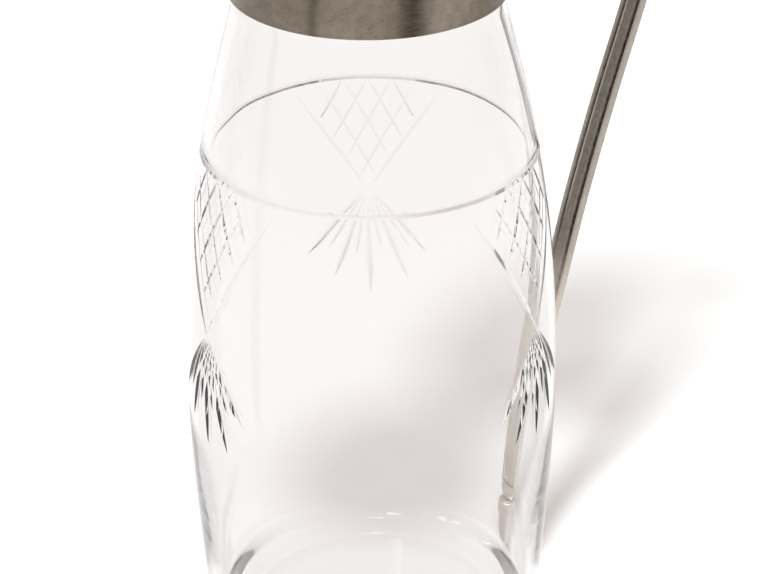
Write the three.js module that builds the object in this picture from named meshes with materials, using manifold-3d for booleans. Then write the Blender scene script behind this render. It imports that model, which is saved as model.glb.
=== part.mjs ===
// Glass carafe with a plated mount, a hinged lid and a long strap handle that is free at its lower end.
// Units are millimetres. +Z is up and the origin is the middle of the base.
// The handle is towards +X and the spout towards -X.
import * as THREE from 'three';
import { mergeVertices } from 'three/addons/utils/BufferGeometryUtils.js';
import Module from 'manifold-3d';

const wasm = await Module();
wasm.setup();

// Clearances, and how far a cutting form reaches beyond what it cuts
const seatGap = 0.3;
const hingeGap = 0.3;
const cutReach = 8;

// Glass body
const baseRadius = 36;
const cornerHeight = 6;
const lowerRadius = 41.7;
const bellyRadius = 46.5;
const bellyHeight = 76;
const throatRadius = 32.1;
const throatHeight = 183.5;
const throatWall = 2.5;
const bellyWall = 1.9;
const footWall = 2.8;
const thinAbove = 75;
const thickBelow = 25;
const floorThickness = 8;
const floorCorner = 10;
const rimInset = 1.5;
const rimShoulder = 6;
const rimRound = 0.8;
const ringHeight = 144;
const ringWidth = 1.5;
const ringDepth = 0.28;

// Collar, bedding and bead
const collarWall = 0.7;
const collarBand = 14;
const collarTaper = 0.4;
const lipHeight = 0.9;
const lipProud = 0.16;
const beadHeight = 2.6;
const beadProud = 1.2;

// Neck, mouth and spout
const neckWall = 1.1;
const neckFoot = 31.9;
const waistRadius = 21.6;
const waistRise = 18.3;
const mouthRadius = 24.1;
const mouthRise = 30.8;
const mouthWire = 1.4;
const spoutReach = 26;
const spoutHalfWidth = 16.4;
const spoutDepth = 20.2;
const spoutTipHalfWidth = 2.4;
const spoutTipDepth = 3.2;
const spoutLift = 4.5;
const spoutWall = 1.1;

// Lid
const lidWall = 1.1;
const lidRimWidth = 4.1;
const lidRimHeight = 2.2;
const lidStep = 0.8;
const coveRadius = 19.5;
const coveRise = 3.4;
const domeRise = 8.2;
const bezelDepth = 2.8;
const bezelWall = 0.8;
const bezelPlay = 0.6;
const finialRadius = 3.1;
const finialHeight = 11;

// Hinge
const hingeWidth = 15;
const middleWidth = 4.7;
const barrelRadius = 2.6;
const pinRadius = 1.1;
const pinHead = 1.8;
const hingeStandOff = 3.8;
const hingeLift = 1.8;
const leafThickness = 1.4;
const leafWidth = 10;

// Thumb piece
const thumbWidth = 13;
const thumbHeight = 15.5;
const thumbThickness = 1.8;
const thumbLean = 7;

// Handle
const strapWidth = 7.6;
const strapBead = 0.95;
const strapWeb = 1.1;
const strapReed = 0.3;
const strapEndHeight = 29.5;
const strapStandOff = 2.6;
const handleReach = 39.6;

// The bow of the handle: how far inside its widest point and how far below its top each point lies
const handleBow = [
  { inside: 9.2, below: 10 },
  { inside: 1.7, below: 24 },
  { inside: 0.2, below: 39 },
  { inside: 3.2, below: 52 },
  { inside: 7.3, below: 65.6 },
];

// The long descent: shares of the way in to the belly and of the way down to the lower end
const handleDescent = [
  { inwards: 0.405, down: 0.459 },
  { inwards: 0.603, down: 0.589 },
  { inwards: 0.765, down: 0.714 },
];

// Beside the glass: heights over the lower end and the distance beyond the stand-off from the glass
const handleBeside = [
  { above: 40.5, beyond: 2.3 },
  { above: 27.5, beyond: 0.6 },
  { above: 14.5, beyond: 0 },
  { above: 0, beyond: 0.7 },
];
const shoulderRun = 17;
const shoulderDrop = 1.6;

// Bracket, its tongue and the rivets
const bracketDrop = 5;
const bracketToe = 1.6;
const bracketSink = 3;
const tongueLength = 12;
const tongueThickness = 2.2;
const rivetRadius = 1;
const rivetHead = 2.1;
const rivetPitch = 5.5;

// The strap's lower end: a flattened taper, then a ring and a plain peg
const knuckleLength = 4.7;
const knuckleRadius = 3.95;
const knuckleFlatness = 0.4;
const pinchRadius = 2.3;
const dropRingRadius = 3.3;
const dropRingHeight = 3.6;
const dropRingEase = 0.5;
const pegLength = 12.2;
const pegRadius = 2.75;
const pegTipRadius = 2.3;

// Smoothness of round work
const roundSteps = 40;
const smallSteps = 12;
const strapSteps = 48;

// Heights that follow from the sizes above
const collarTop = throatHeight + collarBand;
const glassHeight = collarTop - 0.5;
const beadTop = collarTop + seatGap + beadHeight;
const neckBottom = beadTop + seatGap;
const waistHeight = neckBottom + waistRise;
const mouthHeight = neckBottom + mouthRise;
const wireHeight = mouthHeight + seatGap + mouthWire;
const lidBottom = wireHeight + mouthWire + seatGap;
const lidRimTop = lidBottom + lidRimHeight;

// Radii that follow
const rimRadius = throatRadius - rimInset;
const collarInner = throatRadius + seatGap;
const collarOuter = collarInner + collarWall;
const wireRadius = mouthRadius - seatGap;
const bezelOuter = wireRadius - mouthWire - bezelPlay;
const lidRimInner = bezelOuter + seatGap;
const lidRimOuter = lidRimInner + lidRimWidth;
const domeRadius = lidRimOuter - 2;

// Hinge axis, and the strap's middle line where it lies on the bracket
const hingeX = lidRimOuter + hingeStandOff;
const hingeZ = lidBottom + hingeLift;
const bracketTop = hingeZ - barrelRadius - 2.2;
const bracketBack = hingeX + 3.4;
const tongueTop = bracketTop - 3.8;
const strapTopZ = tongueTop + seatGap + strapBead;
const strapStartX = bracketBack + seatGap;

function v2(x, y) {
  return new THREE.Vector2(x, y);
}

// A cubic curve through the plane as a list of points
function bezier(start, control1, control2, end, steps) {
  return new THREE.CubicBezierCurve(start, control1, control2, end).getPoints(steps);
}

// The same line moved sideways, to its right hand as it runs
function offsetLine(points, distance) {
  return points.map((point, i) => {
    const before = points[Math.max(i - 1, 0)];
    const after = points[Math.min(i + 1, points.length - 1)];
    const along = after.clone().sub(before).normalize();
    return v2(point.x + along.y * distance, point.y - along.x * distance);
  });
}

function signedVolume(geometry) {
  const p = geometry.attributes.position;
  const index = geometry.index.array;
  const [a, b, c] = [new THREE.Vector3(), new THREE.Vector3(), new THREE.Vector3()];
  let sum = 0;
  for (let i = 0; i < index.length; i += 3) {
    a.fromBufferAttribute(p, index[i]);
    b.fromBufferAttribute(p, index[i + 1]);
    c.fromBufferAttribute(p, index[i + 2]);
    sum += a.dot(b.cross(c)) / 6;
  }
  return sum;
}

// Weld shared corners, drop triangles with no area and turn the faces outwards
function weld(geometry) {
  const bare = geometry.clone();
  bare.deleteAttribute('normal');
  bare.deleteAttribute('uv');
  const welded = mergeVertices(bare, 1e-4);
  const kept = [];
  const index = welded.index.array;
  for (let i = 0; i < index.length; i += 3) {
    const corners = [index[i], index[i + 1], index[i + 2]];
    if (new Set(corners).size === 3) kept.push(...corners);
  }
  welded.setIndex(kept);
  if (signedVolume(welded) < 0) welded.setIndex(kept.reverse());
  return welded;
}

function toSolid(geometry) {
  const welded = weld(geometry);
  const mesh = new wasm.Mesh({
    numProp: 3,
    vertProperties: new Float32Array(welded.attributes.position.array),
    triVerts: new Uint32Array(welded.index.array),
  });
  return new wasm.Manifold(mesh);
}

function toGeometry(solid) {
  const mesh = solid.getMesh();
  const geometry = new THREE.BufferGeometry();
  geometry.setAttribute('position', new THREE.BufferAttribute(mesh.vertProperties, 3));
  geometry.setIndex(new THREE.BufferAttribute(mesh.triVerts, 1));
  return geometry;
}

// Turn a profile of radius and height about the vertical axis
function revolve(profile, steps = roundSteps) {
  const onAxis = profile[0].x === 0 && profile[profile.length - 1].x === 0;
  const points = onAxis ? profile : [...profile, profile[0]];
  return weld(new THREE.LatheGeometry(points, steps).rotateX(Math.PI / 2));
}

// Extrude an outline drawn in X and Z along Y, with its middle at y
function extrudeAcross(shape, width, y = 0) {
  const options = { depth: width, bevelEnabled: false, curveSegments: 8 };
  const bar = new THREE.ExtrudeGeometry(shape, options).rotateX(Math.PI / 2);
  return weld(bar.translate(0, y + width / 2, 0));
}

// Skin a row of closed loops that have the same number of points, and close both ends
function loft(loops) {
  const count = loops[0].length;
  const positions = loops.flat().flatMap((point) => [point.x, point.y, point.z]);
  const index = [];
  for (let i = 0; i < loops.length - 1; i += 1) {
    for (let j = 0; j < count; j += 1) {
      const a = i * count + j;
      const b = i * count + ((j + 1) % count);
      index.push(a, b, b + count, a, b + count, a + count);
    }
  }
  const outline = loops[0].map((point) => v2(point.y, point.z));
  const faces = THREE.ShapeUtils.triangulateShape(outline, []);
  const last = (loops.length - 1) * count;
  const turn = THREE.ShapeUtils.isClockWise(outline) ? 1 : -1;
  for (const [a, b, c] of faces) {
    if (turn > 0) {
      index.push(a, b, c, last + a, last + c, last + b);
    } else {
      index.push(a, c, b, last + a, last + b, last + c);
    }
  }
  const geometry = new THREE.BufferGeometry();
  geometry.setAttribute('position', new THREE.Float32BufferAttribute(positions, 3));
  geometry.setIndex(index);
  return weld(geometry);
}

// Glass body

const cornerLine = bezier(
  v2(baseRadius, 0),
  v2(baseRadius + 3, 0),
  v2(lowerRadius - 1.4, cornerHeight - 2.5),
  v2(lowerRadius, cornerHeight),
  3,
);

const lowerLine = bezier(
  v2(lowerRadius, cornerHeight),
  v2(
    THREE.MathUtils.lerp(lowerRadius, bellyRadius, 0.31),
    THREE.MathUtils.lerp(cornerHeight, bellyHeight, 0.04),
  ),
  v2(bellyRadius, THREE.MathUtils.lerp(bellyHeight, cornerHeight, 0.26)),
  v2(bellyRadius, bellyHeight),
  5,
);

const upperLine = bezier(
  v2(bellyRadius, bellyHeight),
  v2(bellyRadius, THREE.MathUtils.lerp(bellyHeight, throatHeight, 0.633)),
  v2(throatRadius + 0.4, THREE.MathUtils.lerp(throatHeight, bellyHeight, 0.1)),
  v2(throatRadius, throatHeight),
  10,
);

const underCollarLine = [
  v2(rimRadius + rimInset * 0.4, throatHeight + rimShoulder / 2),
  v2(rimRadius, throatHeight + rimShoulder),
  v2(rimRadius, glassHeight - rimRound),
];

const glassLine = [...cornerLine, ...lowerLine.slice(1), ...upperLine.slice(1), ...underCollarLine];

// Outer radius of the glass at a height
function glassRadius(height) {
  const above = glassLine.findIndex((point) => point.y > height);
  const [a, b] = [glassLine[above - 1], glassLine[above]];
  return THREE.MathUtils.mapLinear(height, a.y, b.y, a.x, b.x);
}

// The fine cut ring is a V groove, so it is three points of the outline
function ringLine() {
  const low = ringHeight - ringWidth / 2;
  const high = ringHeight + ringWidth / 2;
  return [
    v2(glassRadius(low), low),
    v2(glassRadius(ringHeight) - ringDepth, ringHeight),
    v2(glassRadius(high), high),
  ];
}

// Thickness of the glass at a height: thinnest at the belly, stouter above it and stoutest at the foot
function wallAt(height) {
  const upwards = THREE.MathUtils.smoothstep(height, bellyHeight, ringHeight);
  const downwards = 1 - THREE.MathUtils.smoothstep(height, thickBelow, thinAbove);
  return bellyWall + (throatWall - bellyWall) * upwards + (footWall - bellyWall) * downwards;
}

// The inside follows the outside at the wall's thickness and ends in a round corner at the floor
function innerGlassLine() {
  const cornerTop = floorThickness + floorCorner;
  const centre = v2(glassRadius(cornerTop) - wallAt(cornerTop) - floorCorner, cornerTop);
  const cornerSteps = 3;
  const corner = Array.from({ length: cornerSteps + 1 }, (_, i) => {
    const turn = (i * Math.PI) / 2 / cornerSteps;
    return v2(centre.x + floorCorner * Math.cos(turn), centre.y - floorCorner * Math.sin(turn));
  });
  const levels = 13;
  const wall = Array.from({ length: levels }, (_, i) => {
    const height = THREE.MathUtils.lerp(glassHeight - 2 * rimRound, cornerTop, i / levels);
    return v2(glassRadius(height) - wallAt(height), height);
  });
  return [...wall, ...corner];
}

function glassBody() {
  const [ringLow, ringBottom, ringHigh] = ringLine();
  const outside = [
    ...glassLine.filter((point) => point.y < ringLow.y - 1),
    ringLow,
    ringBottom,
    ringHigh,
    ...glassLine.filter((point) => point.y > ringHigh.y + 1),
  ];
  const rim = [
    v2(rimRadius - rimRound, glassHeight),
    v2(rimRadius - throatWall + rimRound, glassHeight),
  ];
  return revolve([v2(0, 0), ...outside, ...rim, ...innerGlassLine(), v2(0, floorThickness)]);
}

// Collar, bedding and bead

function collar() {
  const lip = bezier(
    v2(collarOuter, throatHeight),
    v2(collarOuter + lipProud * 1.4, throatHeight),
    v2(collarOuter + lipProud * 1.4, throatHeight + lipHeight),
    v2(collarOuter, throatHeight + lipHeight),
    3,
  );
  return revolve([
    v2(collarInner, throatHeight),
    ...lip,
    v2(collarOuter - collarTaper, collarTop),
    v2(collarInner - collarTaper, collarTop),
  ]);
}

function rimCement() {
  const inner = rimRadius + seatGap;
  const outer = collarInner - collarTaper - seatGap;
  const bottom = throatHeight + rimShoulder + seatGap;
  const top = glassHeight - 0.6;
  return revolve([v2(inner, bottom), v2(outer, bottom), v2(outer, top), v2(inner, top)]);
}

function collarBead() {
  const bottom = collarTop + seatGap;
  const face = collarOuter - collarTaper;
  const round = bezier(
    v2(face, bottom),
    v2(face + beadProud * 1.35, bottom),
    v2(face + beadProud * 1.35, beadTop),
    v2(face, beadTop),
    4,
  );
  const inner = rimRadius - 0.4;
  return revolve([v2(inner, bottom), ...round, v2(inner, beadTop)]);
}

// Neck, mouth and spout

const neckLine = [
  ...bezier(
    v2(neckFoot, neckBottom),
    v2(THREE.MathUtils.lerp(neckFoot, waistRadius, 0.62), neckBottom + waistRise * 0.15),
    v2(waistRadius, neckBottom + waistRise * 0.56),
    v2(waistRadius, waistHeight),
    6,
  ),
  ...bezier(
    v2(waistRadius, waistHeight),
    v2(waistRadius, THREE.MathUtils.lerp(waistHeight, mouthHeight, 0.44)),
    v2(
      THREE.MathUtils.lerp(waistRadius, mouthRadius, 0.4),
      THREE.MathUtils.lerp(waistHeight, mouthHeight, 0.76),
    ),
    v2(mouthRadius, mouthHeight),
    4,
  ).slice(1),
];

// The space that the neck and mouth take up, with the seating gap round it
function neckEnvelope() {
  const skin = offsetLine(neckLine, seatGap);
  const top = wireHeight + mouthWire + cutReach;
  const outer = wireRadius + mouthWire + seatGap;
  return revolve([
    v2(0, neckBottom - seatGap),
    v2(skin[0].x, neckBottom - seatGap),
    ...skin,
    v2(outer, mouthHeight),
    v2(outer, top),
    v2(0, top),
  ]);
}

// Half width, depth and rim height of the spout at a share of its length
function spoutSize(share, wall) {
  const left = Math.max(1 - share, 0);
  return {
    x: -(waistRadius - 3.6 + spoutReach * share),
    halfWidth: (spoutHalfWidth - spoutTipHalfWidth) * left ** 0.8 + spoutTipHalfWidth - wall,
    depth: (spoutDepth - spoutTipDepth) * left ** 1.7 + spoutTipDepth - wall,
    rim: wireHeight + mouthWire * 0.7 + spoutLift * Math.max(share, 0) ** 1.5,
  };
}

// Points of a half ellipse that hangs from the spout's rim
function troughArc(size, steps = 10) {
  return Array.from({ length: steps + 1 }, (_, i) => {
    const turn = THREE.MathUtils.degToRad(-90 + (180 * i) / steps);
    const y = size.halfWidth * Math.sin(turn);
    const z = size.rim - size.depth * Math.cos(turn);
    return new THREE.Vector3(size.x, y, z);
  });
}

function spoutChannel() {
  const shares = [-0.25, 0, 0.15, 0.3, 0.5, 0.7, 0.85, 1];
  const loops = shares.map((share) => {
    const size = spoutSize(share, spoutWall);
    const head = size.rim + cutReach;
    const lid = [
      new THREE.Vector3(size.x, size.halfWidth, head),
      new THREE.Vector3(size.x, -size.halfWidth, head),
    ];
    return [...troughArc(size), ...lid];
  });
  return toSolid(loft(loops));
}

function spout() {
  const shares = [0, 0.1, 0.2, 0.3, 0.42, 0.55, 0.68, 0.8, 0.9, 1];
  const loops = shares.map((share) => {
    const outside = troughArc(spoutSize(share, 0));
    const inside = troughArc(spoutSize(share, spoutWall)).reverse();
    return [...outside, ...inside];
  });
  return toGeometry(toSolid(loft(loops)).subtract(toSolid(neckEnvelope())));
}

function neckMount() {
  const inner = offsetLine(neckLine, -neckWall).reverse();
  inner[0].y = mouthHeight;
  inner[inner.length - 1].y = neckBottom;
  const shell = toSolid(revolve([...neckLine, ...inner]));
  return toGeometry(shell.subtract(spoutChannel()));
}

function mouthRim() {
  const sides = 8;
  const section = Array.from({ length: sides }, (_, i) => {
    const turn = (i * 2 * Math.PI) / sides;
    return v2(wireRadius + mouthWire * Math.cos(turn), wireHeight + mouthWire * Math.sin(turn));
  });
  return toGeometry(toSolid(revolve(section)).subtract(spoutChannel()));
}

// Lid

function lidRim() {
  const round = bezier(
    v2(lidRimOuter - 0.6, lidBottom),
    v2(lidRimOuter + 0.2, lidBottom),
    v2(lidRimOuter + 0.2, lidRimTop),
    v2(lidRimOuter - 0.6, lidRimTop),
    4,
  );
  return revolve([v2(lidRimInner, lidBottom), ...round, v2(lidRimInner, lidRimTop)]);
}

function lidBezel() {
  const bottom = lidBottom - bezelDepth;
  const inner = bezelOuter - bezelWall;
  return revolve([
    v2(inner, bottom),
    v2(bezelOuter, bottom),
    v2(bezelOuter, lidRimTop - seatGap),
    v2(inner, lidRimTop - seatGap),
  ]);
}

const domeFoot = lidRimTop + seatGap;
const domeStep = domeFoot + lidStep;
const coveTop = domeStep + coveRise;
const crown = coveTop + domeRise;

function domeLine() {
  const cove = bezier(
    v2(domeRadius, domeStep),
    v2(domeRadius - 2.2, domeStep + 0.4),
    v2(coveRadius + 0.3, coveTop - 1.6),
    v2(coveRadius, coveTop),
    3,
  );
  const dome = bezier(
    v2(coveRadius, coveTop),
    v2(coveRadius - 0.8, coveTop + domeRise * 0.62),
    v2(coveRadius * 0.45, crown),
    v2(0, crown),
    6,
  );
  return [...cove, ...dome.slice(1)];
}

function lidDome() {
  const outside = domeLine();
  const inside = offsetLine(outside, -lidWall).reverse();
  inside[0].set(0, crown - lidWall);
  inside.forEach((point) => point.set(Math.max(point.x, 0), Math.max(point.y, domeFoot)));
  const foot = [v2(domeRadius, domeFoot), v2(domeRadius - lidWall - 0.6, domeFoot)];
  const downwards = outside.slice(0, -1).reverse();
  const upwards = inside.slice(0, -1).reverse();
  return revolve([v2(0, crown), ...downwards, ...foot, ...upwards]);
}

// A turned bud on a thin neck, drawn from its seat at height 0
function budProfile(radius, length) {
  return [
    v2(0, 0),
    v2(radius * 0.62, 0),
    v2(radius * 0.66, length * 0.05),
    v2(radius * 0.56, length * 0.1),
    v2(radius * 0.82, length * 0.17),
    v2(radius, length * 0.28),
    v2(radius * 0.97, length * 0.48),
    v2(radius * 0.84, length * 0.7),
    v2(radius * 0.66, length * 0.87),
    v2(radius * 0.36, length * 0.97),
    v2(0, length),
  ];
}

function lidFinial() {
  const seat = crown + seatGap;
  return revolve(budProfile(finialRadius, finialHeight), smallSteps).translate(0, 0, seat);
}

// Hinge

function circleHole(x, z, radius) {
  const hole = new THREE.Path();
  hole.absarc(x, z, radius, 0, Math.PI * 2, true);
  return hole;
}

// A barrel with a foot that stands on the bracket
function mountKnuckle(side) {
  const width = (hingeWidth - middleWidth) / 2 - hingeGap;
  const shape = new THREE.Shape();
  const foot = bracketTop + seatGap;
  shape.moveTo(hingeX - barrelRadius, foot);
  shape.lineTo(hingeX + barrelRadius, foot);
  shape.lineTo(hingeX + barrelRadius, hingeZ);
  shape.absarc(hingeX, hingeZ, barrelRadius, 0, Math.PI, false);
  shape.holes.push(circleHole(hingeX, hingeZ, pinRadius + hingeGap));
  return extrudeAcross(shape, width, side * (middleWidth / 2 + hingeGap + width / 2));
}

// The middle barrel and the leaf that lies on the lid's rim
function lidLeaf() {
  const bottom = lidRimTop + seatGap;
  const top = bottom + leafThickness;
  const inner = domeRadius + seatGap;
  const barrel = new THREE.Shape();
  barrel.moveTo(inner, bottom);
  barrel.lineTo(hingeX - barrelRadius * 0.9, bottom);
  const meet = Math.PI - Math.asin((bottom - hingeZ) / barrelRadius);
  barrel.absarc(hingeX, hingeZ, barrelRadius, meet, Math.PI / 2, false);
  barrel.lineTo(inner, top);
  barrel.holes.push(circleHole(hingeX, hingeZ, pinRadius + hingeGap));
  const plate = new THREE.Shape();
  const plateEnd = hingeX - barrelRadius - hingeGap - 0.2;
  plate.moveTo(inner, bottom);
  plate.lineTo(plateEnd, bottom);
  plate.lineTo(plateEnd, top);
  plate.lineTo(inner, top);
  const knuckle = toSolid(extrudeAcross(barrel, middleWidth));
  const below = bottom - 1;
  const above = top + 1;
  const dome = toSolid(revolve([v2(0, below), v2(inner, below), v2(inner, above), v2(0, above)]));
  return toGeometry(knuckle.add(toSolid(extrudeAcross(plate, leafWidth))).subtract(dome));
}

function hingePin() {
  const half = hingeWidth / 2 + seatGap;
  const head = pinHead * 0.6;
  return revolve(
    [
      v2(0, -half - head),
      v2(pinHead * 0.7, -half - head * 0.7),
      v2(pinHead, -half),
      v2(pinRadius, -half),
      v2(pinRadius, half),
      v2(pinHead, half),
      v2(pinHead * 0.7, half + head * 0.7),
      v2(0, half + head),
    ],
    smallSteps,
  )
    .rotateX(Math.PI / 2)
    .translate(hingeX, 0, hingeZ);
}

// The thumb piece is curved in side view and shield shaped from the front
function thumbPiece() {
  const foot = lidRimTop + seatGap + leafThickness + seatGap;
  const x = domeRadius + seatGap + 0.4 + thumbThickness / 2;
  const spine = bezier(
    v2(x, foot),
    v2(x - 0.6, foot + thumbHeight * 0.4),
    v2(x + 0.4, foot + thumbHeight * 0.75),
    v2(x + thumbLean, foot + thumbHeight),
    10,
  );
  const front = offsetLine(spine, -thumbThickness / 2);
  const back = offsetLine(spine, thumbThickness / 2).reverse();
  front[0].y = foot;
  back[back.length - 1].y = foot;
  const side = toSolid(extrudeAcross(new THREE.Shape([...front, ...back]), thumbWidth + 2));
  const outline = new THREE.Shape();
  const half = thumbWidth / 2;
  const top = foot + thumbHeight + thumbThickness;
  const waist = foot + thumbHeight * 0.3;
  const widening = foot + thumbHeight * 0.45;
  const shoulder = top - thumbHeight * 0.29;
  outline.moveTo(-leafWidth / 2, foot - 1);
  outline.lineTo(leafWidth / 2, foot - 1);
  outline.lineTo(leafWidth / 2, foot + 1);
  outline.bezierCurveTo(half * 0.35, waist, half, widening, half, shoulder);
  outline.bezierCurveTo(half, top - 1.2, half * 0.5, top, 0, top);
  outline.bezierCurveTo(-half * 0.5, top, -half, top - 1.2, -half, shoulder);
  outline.bezierCurveTo(-half, widening, -half * 0.35, waist, -leafWidth / 2, foot + 1);
  const depth = thumbLean + 2 * cutReach;
  const shield = new THREE.ExtrudeGeometry(outline, { depth, bevelEnabled: false, curveSegments: 6 });
  shield.rotateX(Math.PI / 2).rotateZ(Math.PI / 2).translate(x - cutReach, 0, 0);
  return toGeometry(side.intersect(toSolid(shield)));
}

// Handle

function handlePath() {
  const widest = bellyRadius + handleReach;
  const point = (x, z) => new THREE.Vector3(x, 0, z);
  const top = [
    point(strapStartX, strapTopZ),
    point(strapStartX + tongueLength, strapTopZ),
    point(strapStartX + tongueLength + shoulderRun, strapTopZ - shoulderDrop),
  ];
  const bow = handleBow.map(({ inside, below }) => point(widest - inside, strapTopZ - below));
  const descent = handleDescent.map(({ inwards, down }) =>
    point(
      THREE.MathUtils.lerp(widest, bellyRadius, inwards),
      THREE.MathUtils.lerp(strapTopZ, strapEndHeight, down),
    ),
  );
  const beside = handleBeside.map(({ above, beyond }) => {
    const height = strapEndHeight + above;
    return point(glassRadius(height) + strapStandOff + beyond, height);
  });
  return new THREE.CatmullRomCurve3([...top, ...bow, ...descent, ...beside], false, 'centripetal');
}

// The strap's section: a bead along each edge and a low reed along the middle of the web
function strapSection() {
  const shape = new THREE.Shape();
  const beadCentre = strapWidth / 2 - strapBead;
  const web = strapWeb / 2;
  const join = Math.PI - Math.asin(web / strapBead);
  const reedHalf = beadCentre - strapBead * Math.cos(Math.asin(web / strapBead)) - 0.25;
  shape.absarc(beadCentre, 0, strapBead, -join, join, false);
  shape.lineTo(reedHalf, web);
  shape.quadraticCurveTo(0, web + strapReed * 2, -reedHalf, web);
  shape.absarc(-beadCentre, 0, strapBead, Math.PI - join, Math.PI + join, false);
  shape.lineTo(-reedHalf, -web);
  shape.quadraticCurveTo(0, -web - strapReed * 2, reedHalf, -web);
  return shape;
}

function rivetPlaces() {
  const first = strapStartX + 3.2;
  return [first, first + rivetPitch];
}

function rivetHole(x) {
  const radius = rivetRadius + seatGap;
  const hole = new THREE.CylinderGeometry(radius, radius, 2 * cutReach, smallSteps);
  return toSolid(hole.rotateX(Math.PI / 2).translate(x, 0, strapTopZ));
}

function handleStrap() {
  const options = { steps: strapSteps, curveSegments: 3, bevelEnabled: false, extrudePath: handlePath() };
  const strap = toSolid(new THREE.ExtrudeGeometry(strapSection(), options));
  return toGeometry(rivetPlaces().reduce((solid, x) => solid.subtract(rivetHole(x)), strap));
}

// The bracket sits on the back of the neck and carries the hinge, and its tongue carries the strap
function handleBracket() {
  const low = waistHeight - bracketDrop;
  const tongueBottom = tongueTop - tongueThickness;
  const toe = waistRadius + bracketToe;
  const across = (share) => THREE.MathUtils.lerp(toe, bracketBack, share);
  const up = (share) => THREE.MathUtils.lerp(low, tongueBottom, share);
  const block = new THREE.Shape();
  block.moveTo(waistRadius - bracketSink, low);
  block.lineTo(toe, low);
  block.bezierCurveTo(across(0.23), up(0.34), across(0.41), up(0.6), bracketBack, tongueBottom);
  block.lineTo(bracketBack, bracketTop);
  block.lineTo(waistRadius - bracketSink, bracketTop);
  const tongue = new THREE.Shape();
  const end = strapStartX + tongueLength;
  tongue.moveTo(bracketBack - 4, tongueBottom - 2);
  tongue.quadraticCurveTo(bracketBack, tongueBottom, bracketBack + 2.5, tongueBottom);
  tongue.lineTo(end - 1, tongueBottom);
  tongue.lineTo(end, tongueBottom + tongueThickness / 2);
  tongue.lineTo(end - 0.4, tongueTop);
  tongue.lineTo(bracketBack - 4, tongueTop);
  const tongueBar = toSolid(extrudeAcross(tongue, strapWidth));
  const whole = toSolid(extrudeAcross(block, hingeWidth)).add(tongueBar);
  const seated = whole.subtract(toSolid(neckEnvelope()));
  return toGeometry(rivetPlaces().reduce((solid, x) => solid.subtract(rivetHole(x)), seated));
}

function handleRivet(x) {
  const headBottom = strapTopZ + strapBead + seatGap;
  const tailTop = tongueTop - tongueThickness - seatGap;
  return revolve(
    [
      v2(0, tailTop - 0.8),
      v2(rivetHead * 0.8, tailTop - 0.8),
      v2(rivetHead * 0.8, tailTop),
      v2(rivetRadius, tailTop),
      v2(rivetRadius, headBottom),
      v2(rivetHead, headBottom),
      v2(rivetHead * 0.8, headBottom + 0.8),
      v2(rivetHead * 0.4, headBottom + 1.2),
      v2(0, headBottom + 1.3),
    ],
    smallSteps,
  ).translate(x, 0, 0);
}

function strapEnd() {
  return handlePath().getPoint(1);
}

// A flattened turned block that narrows from the strap's width to the ring's neck
function handleKnuckle() {
  const end = strapEnd();
  const profile = [
    v2(0, 0),
    v2(pinchRadius, 0),
    v2(THREE.MathUtils.lerp(pinchRadius, knuckleRadius, 0.55), knuckleLength * 0.25),
    v2(THREE.MathUtils.lerp(pinchRadius, knuckleRadius, 0.95), knuckleLength * 0.5),
    v2(knuckleRadius, knuckleLength * 0.75),
    v2(strapWidth / 2, knuckleLength),
    v2(0, knuckleLength),
  ];
  const bottom = end.z - seatGap - knuckleLength;
  return revolve(profile, 2 * smallSteps).scale(knuckleFlatness, 1, 1).translate(end.x, 0, bottom);
}

// The drop below it, drawn from its top downwards: an eased ring and a peg with a rounded tip
function handleBud() {
  const end = strapEnd();
  const top = end.z - seatGap - knuckleLength - seatGap;
  const ringEnd = dropRingEase + dropRingHeight;
  const tip = ringEnd + pegLength;
  const profile = [
    v2(0, 0),
    v2(pinchRadius, 0),
    v2(dropRingRadius - dropRingEase, dropRingEase / 2),
    v2(dropRingRadius, dropRingEase * 2),
    v2(dropRingRadius, ringEnd - dropRingEase),
    v2(pegRadius, ringEnd),
    v2(THREE.MathUtils.lerp(pegRadius, pegTipRadius, 0.5), (ringEnd + tip) / 2),
    v2(pegTipRadius, tip - pegTipRadius),
    v2(pegTipRadius * Math.cos(Math.PI / 4), tip - pegTipRadius * (1 - Math.sin(Math.PI / 4))),
    v2(0, tip),
  ];
  return revolve(profile, smallSteps).rotateX(Math.PI).translate(end.x, 0, top);
}

// Finishes
const glass = { color: 0xf4f2f0, roughness: 0.03, metalness: 0, transparent: true, opacity: 0.35 };
const plate = { color: 0x8f887e, roughness: 0.34, metalness: 1 };
const plaster = { color: 0xcfc8ba, roughness: 0.9, metalness: 0 };

const carafe = new THREE.Group();

function place(name, geometry, finish) {
  const mesh = new THREE.Mesh(geometry, new THREE.MeshStandardMaterial(finish));
  mesh.name = name;
  mesh.geometry.computeVertexNormals();
  carafe.add(mesh);
}

const [firstRivet, secondRivet] = rivetPlaces();
place('glass_body', glassBody(), glass);
place('rim_cement', rimCement(), plaster);
place('collar_band', collar(), plate);
place('collar_bead', collarBead(), plate);
place('neck_mount', neckMount(), plate);
place('mouth_rim', mouthRim(), plate);
place('spout', spout(), plate);
place('lid_rim', lidRim(), plate);
place('lid_bezel', lidBezel(), plate);
place('lid_dome', lidDome(), plate);
place('lid_finial', lidFinial(), plate);
place('lid_leaf', lidLeaf(), plate);
place('thumb_piece', thumbPiece(), plate);
place('hinge_knuckle_left', mountKnuckle(1), plate);
place('hinge_knuckle_right', mountKnuckle(-1), plate);
place('hinge_pin', hingePin(), plate);
place('handle_bracket', handleBracket(), plate);
place('handle_strap', handleStrap(), plate);
place('handle_rivet_inner', handleRivet(firstRivet), plate);
place('handle_rivet_outer', handleRivet(secondRivet), plate);
place('handle_knuckle', handleKnuckle(), plate);
place('handle_bud', handleBud(), plate);

export default carafe;
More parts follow.
